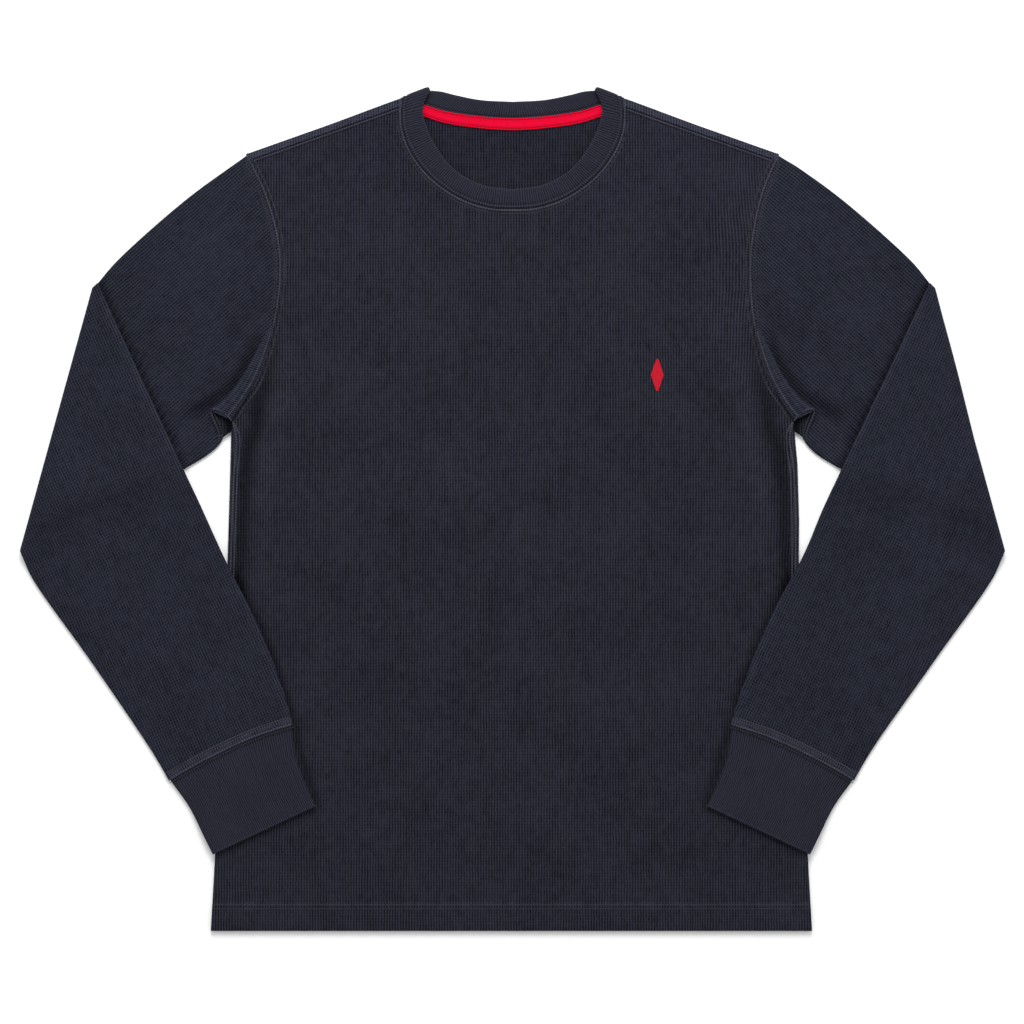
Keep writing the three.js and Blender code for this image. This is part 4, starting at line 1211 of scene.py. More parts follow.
class Shader:
    """Builds one node material with short calls."""

    def __init__(self, name):
        self.material = bpy.data.materials.new(name)
        self.material.use_nodes = True
        self.tree = self.material.node_tree
        self.surface = self.tree.nodes["Principled BSDF"]

    def node(self, kind, **values):
        made = self.tree.nodes.new(kind)
        for name, value in values.items():
            setattr(made, name, value)
        return made

    def link(self, source, target):
        self.tree.links.new(source, target)

    def math(self, operation, first, second=None, third=None):
        made = self.node("ShaderNodeMath", operation=operation)
        for socket, value in zip(made.inputs, (first, second, third)):
            if value is None:
                continue
            if isinstance(value, (int, float)):
                socket.default_value = value
            else:
                self.link(value, socket)
        return made.outputs[0]

    def add(self, first, *others):
        for other in others:
            first = self.math("ADD", first, other)
        return first

    def noise(self, vector, scale, detail, roughness=0.5):
        made = self.node("ShaderNodeTexNoise")
        made.inputs["Scale"].default_value = scale
        made.inputs["Detail"].default_value = detail
        made.inputs["Roughness"].default_value = roughness
        self.link(vector, made.inputs["Vector"])
        return made.outputs["Fac"]

    def spread(self, vector, scale, detail, by, roughness=0.5):
        """A noise that swings by half of an amount to either side of nought."""
        return self.math("MULTIPLY_ADD", self.noise(vector, scale, detail, roughness), by, -by / 2)

    def wave(self, value, pitch):
        """A smooth wave from 0 to 1 along a length in metres."""
        turn = self.math("MULTIPLY", value, 2 * math.pi / pitch)
        return self.math("MULTIPLY_ADD", self.math("COSINE", turn), 0.5, 0.5)

    def blend(self, share, low, high):
        made = self.node("ShaderNodeMix", data_type="RGBA")
        self.link(share, made.inputs["Factor"])
        for name, colour in (("A", low), ("B", high)):
            if isinstance(colour, bpy.types.NodeSocket):
                self.link(colour, made.inputs[name])
            else:
                made.inputs[name].default_value = (*colour, 1.0)
        return made.outputs["Result"]

    def colour_with_painted_light(self, colour):
        """The colour, made paler by the mesh's painted highlight and darker by its painted shade, as the
        surface's base colour.
        """
        fade = self.node("ShaderNodeAttribute", attribute_name="fade").outputs["Fac"]
        share = self.math("MAXIMUM", self.math("ADD", fade, 1.0), LEAST_COLOUR_UNDER_SHADE)
        made = self.node("ShaderNodeVectorMath", operation="SCALE")
        self.link(colour, made.inputs["Vector"])
        self.link(share, made.inputs["Scale"])
        self.link(made.outputs["Vector"], self.surface.inputs["Base Color"])

    def knit_map(self):
        split = self.node("ShaderNodeSeparateXYZ")
        self.link(self.node("ShaderNodeUVMap", uv_map="knit").outputs["UV"], split.inputs["Vector"])
        return split.outputs["X"], split.outputs["Y"]

    def place(self):
        return self.node("ShaderNodeTexCoord").outputs["Object"]

    def stretched(self, across, along, share):
        """A place in the knit, drawn out along the ribs so that a noise on it makes streaks."""
        made = self.node("ShaderNodeCombineXYZ")
        self.link(across, made.inputs["X"])
        self.link(self.math("MULTIPLY", along, share), made.inputs["Y"])
        return made.outputs["Vector"]

    def bump(self, height, depth):
        made = self.node("ShaderNodeBump")
        made.inputs["Strength"].default_value = 1.0
        made.inputs["Distance"].default_value = depth
        self.link(height, made.inputs["Height"])
        self.link(made.outputs["Normal"], self.surface.inputs["Normal"])

    def cloth_finish(self, roughness, specular, sheen):
        self.surface.inputs["Roughness"].default_value = roughness
        self.surface.inputs["Specular IOR Level"].default_value = specular
        self.surface.inputs["Sheen Weight"].default_value = sheen
        self.surface.inputs["Sheen Roughness"].default_value = 0.45


def waffle_material(sizes, name, crest_colour, bar_share):
    """Raised ribs crossed by finer bars, with sunk cells between that are painted darker as their shade, and
    a washed, slightly uneven colour, which turns to the sleeves' colour towards the shoulders."""
    shader = Shader(name)
    across, along = shader.knit_map()
    place = shader.place()
    drift = shader.spread(place, scale=38.0, detail=2.0, by=0.0013)
    jitter = shader.spread(place, scale=420.0, detail=1.0, by=0.0008)
    wander = shader.add(across, drift, jitter)
    rib = shader.wave(wander, sizes.rib_pitch)
    bar = shader.wave(shader.add(along, jitter), sizes.bar_pitch)
    furrow = shader.math("SUBTRACT", 1.0, rib)
    crossing = shader.math("MULTIPLY", shader.math("MULTIPLY", bar, furrow), bar_share)
    fibres = shader.noise(place, scale=1300.0, detail=3.0, roughness=0.7)
    yarn = shader.math("MULTIPLY_ADD", fibres, 0.55, -0.27)
    height = shader.add(rib, crossing, yarn)
    patches = shader.spread(place, scale=16.0, detail=4.0, roughness=0.6, by=0.5)
    specks = shader.spread(place, scale=160.0, detail=3.0, roughness=0.6, by=0.8)
    streaks = shader.stretched(wander, along, 0.12)
    uneven = shader.spread(streaks, scale=330.0, detail=1.0, by=0.3)
    tone = shader.add(shader.add(height, uneven), shader.add(patches, specks))
    start, reach = SLEEVE_TINT_START, SLEEVE_TINT_REACH
    tint = shader.math("MULTIPLY_ADD", along, 1.0 / reach, -start / reach)
    crest = shader.blend(tint, crest_colour, sizes.sleeve_colour)
    # The cells are painted towards the furrow colour as shade by the knit's height; random patches, specks
    # and streaks also shift the tone
    shader.colour_with_painted_light(shader.blend(tone, sizes.furrow_shade_colour, crest))
    shader.bump(height, sizes.knit_depth)
    shader.cloth_finish(COTTON_ROUGHNESS, sizes.specular, sizes.sheen)
    return shader.material


def rib_material(sizes):
    """The doubled rib: ribs are in the mesh, and the material adds the furrows' shade and the stitches."""
    shader = Shader("rib_cloth")
    across, along = shader.knit_map()
    place = shader.place()
    jitter = shader.spread(place, scale=300.0, detail=2.0, by=0.0012)
    rib = shader.wave(shader.add(across, jitter), RIB_PITCH * MM)
    stitch = shader.wave(along, sizes.stitch_pitch)
    yarn = shader.spread(place, scale=1100.0, detail=3.0, roughness=0.7, by=0.6)
    height = shader.add(shader.math("MULTIPLY", stitch, 0.35), yarn)
    patches = shader.spread(place, scale=22.0, detail=4.0, roughness=0.6, by=0.5)
    streaks = shader.stretched(across, along, 0.2)
    uneven = shader.spread(streaks, scale=380.0, detail=1.0, by=0.4)
    ribs = shader.math("ADD", rib, 0.005)
    tone = shader.add(shader.add(ribs, uneven), shader.add(height, patches))
    shader.colour_with_painted_light(shader.blend(tone, sizes.furrow_shade_colour, sizes.rib_colour))
    shader.bump(height, sizes.knit_depth * 0.4)
    shader.cloth_finish(COTTON_ROUGHNESS, sizes.specular, sizes.sheen)
    return shader.material


def seam_material(sizes):
    """Cloth that is gathered over a seam: painted paler on its crests as highlight, with crimps across it
    and painted shade between them.
    """
    shader = Shader("seam_cloth")
    run, _ = shader.knit_map()
    place = shader.place()
    drift = shader.spread(place, scale=130.0, detail=2.0, by=0.003)
    crimp = shader.wave(shader.add(run, drift), sizes.crimp_pitch)
    yarn = shader.spread(place, scale=900.0, detail=3.0, roughness=0.7, by=0.9)
    patches = shader.spread(place, scale=60.0, detail=3.0, roughness=0.6, by=0.9)
    height = shader.add(shader.math("MULTIPLY", crimp, 0.6), yarn)
    tone = shader.add(height, patches, 0.2)
    shader.colour_with_painted_light(shader.blend(tone, sizes.seam_furrow_shade, sizes.seam_crest_highlight))
    shader.bump(height, sizes.knit_depth * 0.6)
    shader.cloth_finish(COTTON_ROUGHNESS, sizes.specular, sizes.sheen)
    return shader.material


def tape_material(sizes):
    """Red twill tape, with a painted highlight where it stands proud along its middle, and painted shade
    from the mesh at its rows of stitching.
    """
    shader = Shader("tape_cloth")
    run, up = shader.knit_map()
    diagonal = shader.wave(shader.add(run, up), TWILL_PITCH)
    grain = shader.noise(shader.place(), scale=900.0, detail=3.0, roughness=0.7)
    off_middle = shader.math("ABSOLUTE", shader.math("SUBTRACT", up, (TAPE_BELOW + TAPE_ABOVE) / 2 * MM))
    # A painted highlight along the tape's raised middle, which falls off towards both edges
    crown = shader.math("SUBTRACT", 1.0, shader.math("MULTIPLY", off_middle, TAPE_CROWN_SLOPE))
    shares = ((diagonal, 0.25), (grain, 0.7), (crown, 0.45))
    tone = shader.add(*(shader.math("MULTIPLY", value, share) for value, share in shares))
    shader.colour_with_painted_light(shader.blend(tone, sizes.tape_dark, sizes.tape_light))
    shader.bump(shader.add(diagonal, grain), TAPE_RELIEF)
    shader.cloth_finish(roughness=0.85, specular=0.05, sheen=0.0)
    return shader.material


def thread_material(name, colour, roughness=0.75):
    shader = Shader(name)
    grain = shader.noise(shader.place(), scale=2400.0, detail=2.0, roughness=0.6)
    dark = tuple(channel * THREAD_SHADE for channel in colour)
    shader.link(shader.blend(grain, dark, colour), shader.surface.inputs["Base Color"])
    shader.bump(grain, THREAD_RELIEF)
    shader.cloth_finish(roughness, specular=0.15, sheen=0.05)
    return shader.material


def floor_material(colour):
    shader = Shader("pale_floor")
    shader.surface.inputs["Base Color"].default_value = (*colour, 1.0)
    shader.surface.inputs["Roughness"].default_value = 1.0
    shader.surface.inputs["Specular IOR Level"].default_value = 0.0
    return shader.material


def material(name):
    return bpy.data.materials[name]


# Sewing

# Across a ridge: how far sideways as a share of its width, and how high as a share of its height
BEAD_SECTION = (
    (-0.5, -0.12), (-0.42, 0.35), (-0.25, 0.82), (0.0, 1.0), (0.25, 0.82), (0.42, 0.35), (0.5, -0.12),
)
BEAD_TAPER = 0.7
BEAD_TIP = 0.0004


def bead_mesh(name, path, ridge):
    """A low rounded ridge along a path of points on a surface, with crimps across it and tapered ends."""
    tangent = np.gradient(path[:, :2], axis=0)
    run = np.concatenate([[0.0], np.cumsum(np.linalg.norm(np.diff(path, axis=0), axis=1))])
    ends = np.sqrt(np.clip(np.minimum(run, run[-1] - run) / (ridge.width * BEAD_TAPER), BEAD_TIP, 1.0))
    crimps = 1.0 - ridge.crimp * (0.5 + 0.5 * np.cos(2 * np.pi * run / CRIMP_PITCH))
    section = np.array(BEAD_SECTION)
    sideways = section[None, :, 0] * (ridge.width * ends)[:, None]
    upwards = section[None, :, 1] * (ridge.height * ends * crimps)[:, None]
    plan = path[:, None, :2] + left_of(tangent)[:, None] * sideways[..., None]
    points = with_height(plan, path[:, None, 2] + upwards)
    knit = pairs(run[:, None], sideways)
    closed = [np.concatenate([grid, grid[:, :1]], 1) for grid in (points, knit)]
    mesh = mesh_of_grid(name, *closed, fade=ridge.fade)
    close_ends(mesh)
    return mesh


def close_ends(mesh):
    work = bmesh.new()
    work.from_mesh(mesh)
    bmesh.ops.holes_fill(work, edges=[edge for edge in work.edges if edge.is_boundary], sides=0)
    bmesh.ops.recalc_face_normals(work, faces=work.faces)
    work.to_mesh(mesh)
    work.free()


def offset_line(points, distance):
    """A plan line moved sideways, to its left where the distance is above nought."""
    return points + left_of(np.gradient(points, axis=0)) * distance


def on_front(points, lift=0.0):
    return with_height(points, front_surface(points)[0] + lift)


class Ridge(NamedTuple):
    """A seam's ridge: its place, which each table below explains, its width and height, its crimps' share
    of the height, and the share by which its colour is painted darker as shade below nought and paler as
    highlight above it."""

    place: float
    width: float
    height: float
    crimp: float
    fade: float = 0.0


CRIMP_PITCH = 2.3
# Places here are distances outwards from the neck seam
NECK_RIDGE = Ridge(1.1, 2.0, 0.7, 0.2)
NECK_OUTER_RIDGE = Ridge(3.9, 1.0, 0.3, 0.3, -0.35)
# Above nought is on the body, below it on the sleeve
ARMHOLE_RIDGES = (
    Ridge(0.7, 1.7, 0.75, 0.3),
    Ridge(4.6, 1.6, 0.3, 0.3, -0.4),
    Ridge(-3.8, 1.1, 0.2, 0.3, -0.4),
)
ARMHOLE_STITCHES = -2.2
ARMHOLE_END = 0.985
# How the ridges wrap over the shoulder's edge, as (out, y, drop) from the top of the shoulder
ARMHOLE_RIDGE_END = ((230.9, 309.8, -2.2), (230.9, 308.8, -0.4), (230.4, 306.0, 0.0))
NECK_RIDGE_END = ((96.3, 358.8, -2.6), (96.4, 357.6, -0.8), (97.0, 353.5, 0.1))
# The side seam's distance from the body's edge: it leaves the underarm point, swings in and settles
SIDE_YS = (-284.0, -60.0, 30.0, 44.8, 57.0, 65.7, 71.8, 76.5)
SIDE_INSETS = (2.4, 2.6, 3.2, 4.2, 4.9, 4.2, 2.4, 0.9)
SIDE_RIDGES = (Ridge(0.0, 1.5, 0.35, 0.3), Ridge(3.0, 1.2, 0.25, 0.3))
# The two side ridges part from this height above the underarm point, over this length
SIDE_PART = (4.0, 16.0)
# A share across the fold
TUCK_RIDGE = Ridge(0.24, 1.3, 0.4, 0.3)
# Round the fold's opening: the line, whether the ridge sinks along it, and the ridge, placed by its rise
TUCK_END_RIDGES = (
    (TUCK_LIP, False, Ridge(3.3, 1.5, 0.8, 0.3, -0.1)),
    (TUCK_UNDER, True, Ridge(1.2, 1.9, 1.3, 0.3, -0.3)),
    (TUCK_INNER, True, Ridge(0.6, 1.3, 0.9, 0.3, -0.35)),
)
# Above nought is up the sleeve, below it on the cuff
CUFF_RIDGES = (Ridge(0.65, 2.2, 0.85, 0.2), Ridge(6.9, 1.1, 0.3, 0.2))
CUFF_STITCHES = -2.1
CUFF_RUNGS = 4.2
RUNG_LENGTH = 4.4
RUNG_LEAN = 90.0
# Shares of the way from the forward shoulder seam to the fold
SHOULDER_RIDGE = Ridge(0.22, 1.1, 0.25, 0.2)
SHOULDER_RUNGS = 0.68
SHOULDER_RUNG_LENGTH = 3.4
HEM_STITCHES = (19.4, 23.1)
HEM_STITCH_END = 2.0
HEM_STITCH_LIFT = 0.05
BAND_STITCH_END = 0.96
TAPE_STITCHES = (0.55, -6.87)
TAPE_STITCH_END = 0.06
LOZENGE_CENTRE = (126.0, 117.0)
LOZENGE_HALF_HEIGHT = 13.5
LOZENGE_HALF_WIDTH = 4.6
LOZENGE_ROW = 0.55
LOZENGE_EDGE = 0.4
LOZENGE_LIFT = 0.1
LOZENGE_STITCH = {"Pitch": 0.0009, "Length": 0.0016, "Width": 0.0007, "Height": 0.0006}
# Points along each kind of line
STEPS = {
    "neck": 260, "armhole": 240, "side": 300, "tuck": 120,
    "end": 60, "seam": 160, "hem": 400, "satin": 12,
}


def over_shoulder(table, side, top):
    return np.array([(side * out, y, top + drop) for out, y, drop in table])


def neck_line(inset):
    """A line on the body beside the front neck seam, which wraps over the shoulders at its ends."""
    neck = across_garment(NECK_FRONT)(np.linspace(0.0, 1.0, STEPS["neck"]))
    line = on_front(offset_line(neck, -inset))
    left, right = (over_shoulder(NECK_RIDGE_END, side, line[0, 2]) for side, _ in SIDES)
    return np.vstack([left, line, right[::-1]])


def armhole_line(side, inset):
    """A line beside the armhole's seam, on whichever cloth lies there."""
    share = np.linspace(FRONT_SHOULDER_SHARE, ARMHOLE_END, STEPS["armhole"])
    line = on_front(offset_line(curve(ARMHOLE, side)(share), -side * inset))
    return np.vstack([over_shoulder(ARMHOLE_RIDGE_END, side, line[0, 2]), line])


def side_line(side, inset):
    """A line down the body inside its edge, which leaves the underarm point and swings in."""
    y = np.linspace(SIDE_YS[-1], SIDE_YS[0], STEPS["side"])
    parted = smooth((SIDE_YS[-1] + SIDE_PART[0] - y) / SIDE_PART[1])
    out = side_out(y) - np.interp(y, SIDE_YS, SIDE_INSETS) - inset * parted
    return on_front(pairs(side * out, y))


def tuck_line(side, share):
    along = np.linspace(0.06, 0.99, STEPS["tuck"])
    return tuck_surface(side, along, np.full((len(along), 1), share))[:, 0]


def tuck_end_line(side, table, sinks, rise):
    """A line round the fold's opening, at a rise above the sleeve."""
    points = curve(table, side)(np.linspace(0.0, 1.0, STEPS["end"]))
    left = smooth(np.linspace(1.3, 0.0, len(points))) if sinks else np.ones(len(points))
    return with_height(points, TUBE_THICK + rise * left)


def shoulder_line(side, share):
    """A line on the shoulder strip, at a share of the way from its seam to its fold."""
    start, end = on_side([SHOULDER_OUTER, SHOULDER_INNER], side)
    along = np.linspace(0.0, 1.0, STEPS["seam"])[3:-3, None]
    fold = start + (end - start) * along
    seam = forward_seam(side, along)
    points = seam + (fold - seam) * share
    raised = np.interp(1.0 - share, FLANGE_SHARES, FLANGE_HEIGHTS)
    return with_height(points, front_base(points) + CLOTH + raised)


def cuff_line(side, inset):
    """A line along the cuff's seam: up the sleeve where the inset is above nought, else on the cuff."""
    seam = curve(CUFF_SEAM, side)(np.linspace(0.004, 0.996, STEPS["seam"]))
    points = offset_line(seam, inset * side)
    thick = TUBE_THICK if inset > 0 else CUFF_THICK
    return with_height(points, forearm_base(points) + thick)


def hem_line(height):
    end = side_out(HEM_Y) - HEM_STITCH_END
    return on_front(pairs(np.linspace(-end, end, STEPS["hem"]), HEM_Y + height), HEM_STITCH_LIFT)


def tape_line(up):
    """A row of stitches in one of the tape's two grooves."""
    seam = across_garment(NECK_BACK)(np.linspace(TAPE_STITCH_END, 1 - TAPE_STITCH_END, STEPS["seam"]))
    places = np.array(TAPE_SECTION)[::-1]
    top = tape_surface(np.array(up)) + np.interp(up, places[:, 0], places[:, 1]) * TAPE_THICK
    return with_height(seam + (0.0, up), np.full(len(seam), top))


def lozenge_rungs():
    """Level rows of satin stitches that fill a small upright lozenge."""
    rungs = []
    for up in np.arange(-LOZENGE_HALF_HEIGHT, LOZENGE_HALF_HEIGHT + 0.01, LOZENGE_ROW):
        half = LOZENGE_HALF_WIDTH * (1 - abs(up) / LOZENGE_HALF_HEIGHT) + LOZENGE_EDGE
        x = LOZENGE_CENTRE[0] + np.linspace(-half, half, STEPS["satin"])
        rungs.append(on_front(pairs(x, LOZENGE_CENTRE[1] + up), LOZENGE_LIFT))
    return rungs


STITCH_SOCKETS = {"Pitch": 0.0028, "Length": 0.002, "Width": 0.0005, "Height": 0.00035, "Lean": 0.0}


def stitch_tree():
    """Geometry Nodes: thread stitches set out along a curve, one to each pitch, and turned by a lean."""
    tree = bpy.data.node_groups.new("Stitch row", "GeometryNodeTree")
    tree.interface.new_socket("Geometry", in_out="INPUT", socket_type="NodeSocketGeometry")
    for name, default in STITCH_SOCKETS.items():
        socket = tree.interface.new_socket(name, in_out="INPUT", socket_type="NodeSocketFloat")
        socket.default_value = default
    tree.interface.new_socket("Thread", in_out="INPUT", socket_type="NodeSocketMaterial")
    tree.interface.new_socket("Geometry", in_out="OUTPUT", socket_type="NodeSocketGeometry")
    new = tree.nodes.new
    given, result = new("NodeGroupInput"), new("NodeGroupOutput")
    sizes = new("ShaderNodeCombineXYZ")
    ball = new("GeometryNodeMeshUVSphere")
    ball.inputs["Segments"].default_value = 8
    ball.inputs["Rings"].default_value = 4
    ball.inputs["Radius"].default_value = 0.5
    shaped = new("GeometryNodeTransform")
    spaced = new("GeometryNodeResampleCurve")
    spaced.mode = "LENGTH"
    tangent = new("GeometryNodeInputTangent")
    turned = new("FunctionNodeAlignRotationToVector")
    turned.axis = "X"
    turned.pivot_axis = "Z"
    lean = new("FunctionNodeAxisAngleToRotation")
    lean.inputs["Axis"].default_value = (0.0, 0.0, 1.0)
    leaned = new("FunctionNodeRotateRotation")
    leaned.rotation_space = "LOCAL"
    placed = new("GeometryNodeInstanceOnPoints")
    real = new("GeometryNodeRealizeInstances")
    rounded = new("GeometryNodeSetShadeSmooth")
    finish = new("GeometryNodeSetMaterial")
    for source, output, target, entry in (
        (given, "Length", sizes, "X"),
        (given, "Width", sizes, "Y"),
        (given, "Height", sizes, "Z"),
        (ball, "Mesh", shaped, "Geometry"),
        (sizes, "Vector", shaped, "Scale"),
        (given, "Geometry", spaced, "Curve"),
        (given, "Pitch", spaced, "Length"),
        (tangent, "Tangent", turned, "Vector"),
        (given, "Lean", lean, "Angle"),
        (turned, "Rotation", leaned, "Rotation"),
        (lean, "Rotation", leaned, "Rotate By"),
        (spaced, "Curve", placed, "Points"),
        (shaped, "Geometry", placed, "Instance"),
        (leaned, "Rotation", placed, "Rotation"),
        (placed, "Instances", real, "Geometry"),
        (real, "Geometry", rounded, "Geometry"),
        (rounded, "Geometry", finish, "Geometry"),
        (given, "Thread", finish, "Material"),
        (finish, "Geometry", result, "Geometry"),
    ):
        tree.links.new(source.outputs[output], target.inputs[entry])
    return tree


def stitch_rows(name, paths, thread, **sizes):
    """Stitches along one or more paths, as one plain mesh."""
    line = bpy.data.curves.new(name + "_path", "CURVE")
    line.dimensions = "3D"
    for path in paths:
        spline = line.splines.new("POLY")
        spline.points.add(len(path) - 1)
        spline.points.foreach_set("co", np.hstack([path * MM, np.ones((len(path), 1))]).reshape(-1))
    guide = bpy.data.objects.new(name + "_path", line)
    bpy.context.scene.collection.objects.link(guide)
    modifier = guide.modifiers.new("stitches", "NODES")
    tree = bpy.data.node_groups.get("Stitch row") or stitch_tree()
    modifier.node_group = tree
    keys = {item.name: item.identifier for item in tree.interface.items_tree if item.in_out == "INPUT"}
    for socket, value in {**STITCH_SOCKETS, **sizes, "Thread": thread}.items():
        modifier[keys[socket]] = value
    bpy.context.view_layer.update()
    evaluated = guide.evaluated_get(bpy.context.evaluated_depsgraph_get())
    mesh = bpy.data.meshes.new_from_object(evaluated)
    mesh.name = name
    guide.modifiers.clear()
    bpy.data.objects.remove(guide)
    return mesh


# Properties

def length_property(name, description, default):
    return FloatProperty(name=name, description=description, default=default, unit="LENGTH", precision=5)


def colour_property(name, description, default):
    return FloatVectorProperty(
        name=name, description=description, default=default, subtype="COLOR", min=0, max=1
    )


def amount_property(name, description, default, **limits):
    return FloatProperty(name=name, description=description, default=default, min=0, **limits)


class KnitSettings(bpy.types.PropertyGroup):
    """Sizes and colours of the knitted cloth"""

    rib_pitch: length_property("Rib pitch", "From one rib of the waffle knit to the next", 0.0024)
    bar_pitch: length_property("Bar pitch", "From one cross bar of the waffle knit to the next", 0.00265)
    knit_depth: length_property("Knit depth", "Depth of the waffle knit's cells", 0.0005)
    stitch_pitch: length_property("Stitch pitch", "From one stitch of the rib knit to the next", 0.0013)
    crimp_pitch: length_property("Crimp pitch", "From one crimp of a seam ridge to the next", 0.0023)
    bar_share: amount_property("Bar height", "Height of the cross bars as a share of the ribs'", 0.3, max=1)
    specular: amount_property("Specular", "Specular level of the cotton", 0.04, max=1)
    sheen: amount_property("Sheen", "Sheen weight of the cotton's nap", 0.02, max=1)
    crest_colour: colour_property("Crest colour", "On top of the body's ribs", (0.0262, 0.026, 0.0394))
    sleeve_colour: colour_property("Sleeve colour", "On top of the sleeves' ribs", (0.0227, 0.0246, 0.0384))
    # The furrow colour is painted shade in the knit's cells and furrows
    furrow_shade_colour: colour_property("Furrow colour", "At the bottom of the cells", (0.0034, 0.0035, 0.0058))
    rib_colour: colour_property("Rib colour", "On top of cuff and neckband ribs", (0.0241, 0.0254, 0.0383))
    # The seam colours are a painted highlight on the ridges' crests and painted shade between their crimps
    seam_crest_highlight: colour_property("Seam crest", "Of a seam's ridge where it is rubbed", (0.058, 0.059, 0.079))
    seam_furrow_shade: colour_property("Seam furrow", "Of a seam's ridge between crimps", (0.015, 0.015, 0.023))
    # The tape's two colours are blended by its twill and grain, and by a painted highlight along its middle
    tape_light: colour_property("Tape light", "Of the neck tape where it stands proud", (0.76, 0.002, 0.032))
    tape_dark: colour_property("Tape dark", "Of the neck tape in its furrows", (0.5, 0.0, 0.014))


class SewingSettings(bpy.types.PropertyGroup):
    """Sizes and colours of the sewing"""

    stitch_length: length_property("Stitch length", "Length of a topstitch that shows", 0.0017)
    stitch_gap: length_property("Stitch spacing", "From one topstitch to the next", 0.0024)
    thread_width: length_property("Thread width", "Thickness of the sewing thread", 0.0006)
    rung_gap: length_property("Rung spacing", "From one overcast stitch to the next", 0.0021)
    rung_width: length_property("Rung width", "Thickness of an overcast stitch", 0.0009)
    thread_colour: colour_property("Thread colour", "Colour of the sewing thread", (0.044, 0.045, 0.061))
    tape_thread: colour_property("Tape thread", "Colour of the thread on the neck tape", (0.3, 0.0, 0.008))
    motif_colour: colour_property("Motif colour", "Colour of the small sewn lozenge", (0.6, 0.002, 0.02))


class StageSettings(bpy.types.PropertyGroup):
    """The floor, the lights and the camera"""

    camera_height: length_property("Camera height", "Height of the camera over the floor", 3.2)
    view_width: length_property("View width", "Width of the picture at the garment", 0.8909)
    floor_colour: colour_property("Floor colour", "Colour of the pale floor", (0.93, 0.93, 0.93))
    sky_strength: amount_property("Sky strength", "Strength of the even white surroundings", 0.55)
    key_power: amount_property("Key power", "Power of the large light beyond the neck, in watts", 112.0)
    fill_power: amount_property("Fill power", "Power of each soft side light, in watts", 14.0)


PROPERTY_GROUPS = {
    "thermal_knit": KnitSettings,
    "thermal_sewing": SewingSettings,
    "thermal_stage": StageSettings,
}


# Operators

class THERMAL_OT_materials(bpy.types.Operator):
    """Make the cloth, tape and thread materials"""

    bl_idname = "thermal.materials"
    bl_label = "Materials"

    def execute(self, context):
        knit, sewing = context.scene.thermal_knit, context.scene.thermal_sewing
        waffle_material(knit, "waffle_cloth", knit.crest_colour, knit.bar_share)
        waffle_material(knit, "sleeve_cloth", knit.sleeve_colour, knit.bar_share * SLEEVE_BAR_FACTOR)
        rib_material(knit)
        seam_material(knit)
        tape_material(knit)
        thread_material("navy_thread", tuple(sewing.thread_colour))
        thread_material("tape_thread", tuple(sewing.tape_thread))
        thread_material("motif_thread", tuple(sewing.motif_colour), roughness=0.5)
        return {"FINISHED"}


class THERMAL_OT_back_panel(bpy.types.Operator):
    """Make the back panel, which rolls over the shoulder edges to the forward seams"""

    bl_idname = "thermal.back_panel"
    bl_label = "Back panel"

    def execute(self, context):
        mesh, area = back_panel_mesh()
        piece = add_piece(mesh, material("waffle_cloth"), ["back_panel"])
        return {"FINISHED"}


class THERMAL_OT_front_panel(bpy.types.Operator):
    """Make the front panel with its turned-up hem"""

    bl_idname = "thermal.front_panel"
    bl_label = "Front panel"

    def execute(self, context):
        mesh, area = front_panel_mesh()
        piece = add_piece(mesh, material("waffle_cloth"), ["front_panel"])
        return {"FINISHED"}


class THERMAL_OT_sleeves(bpy.types.Operator):
    """Make both sleeves, folded over at the elbow"""

    bl_idname = "thermal.sleeves"
    bl_label = "Sleeves"

    def execute(self, context):
        for side, word in SIDES:
            mesh, area = sleeve_mesh(side, f"waffle_sleeve_{word}")
            piece = add_piece(mesh, material("sleeve_cloth"), [f"sleeve_{word}"])
        return {"FINISHED"}


class THERMAL_OT_cuffs(bpy.types.Operator):
    """Make both cuffs in doubled rib knit"""

    bl_idname = "thermal.cuffs"
    bl_label = "Cuffs"

    def execute(self, context):
        for side, word in SIDES:
            mesh, area = cuff_mesh(side, f"rib_cuff_{word}")
            piece = add_piece(mesh, material("rib_cloth"), [f"cuff_{word}"])
        return {"FINISHED"}


class THERMAL_OT_neckband(bpy.types.Operator):
    """Make the neckband in doubled rib knit"""

    bl_idname = "thermal.neckband"
    bl_label = "Neckband"

    def execute(self, context):
        mesh, flat = neckband_mesh()
        piece = add_piece(mesh, material("rib_cloth"), ["neckband"])
        return {"FINISHED"}


class THERMAL_OT_neck_tape(bpy.types.Operator):
    """Make the red tape over the back neck seam"""

    bl_idname = "thermal.neck_tape"
    bl_label = "Neck tape"

    def execute(self, context):
        mesh, area = neck_tape_mesh()
        piece = add_piece(mesh, material("tape_cloth"), ["neck_tape"])
        return {"FINISHED"}


class THERMAL_OT_tucks(bpy.types.Operator):
    """Make the fold of cloth that stands up beside each underarm seam"""

    bl_idname = "thermal.tucks"
    bl_label = "Underarm tucks"

    def execute(self, context):
        for side, word in SIDES:
            mesh, flat = tuck_mesh(side, f"waffle_tuck_{word}")
            piece = add_piece(mesh, material("sleeve_cloth"))
            mesh, area = hollow_mesh(side, f"tuck_hollow_{word}")
            hollow = add_piece(mesh, material("sleeve_cloth"))
            flat = (area / HOLLOW_WIDTH, HOLLOW_WIDTH)
        return {"FINISHED"}


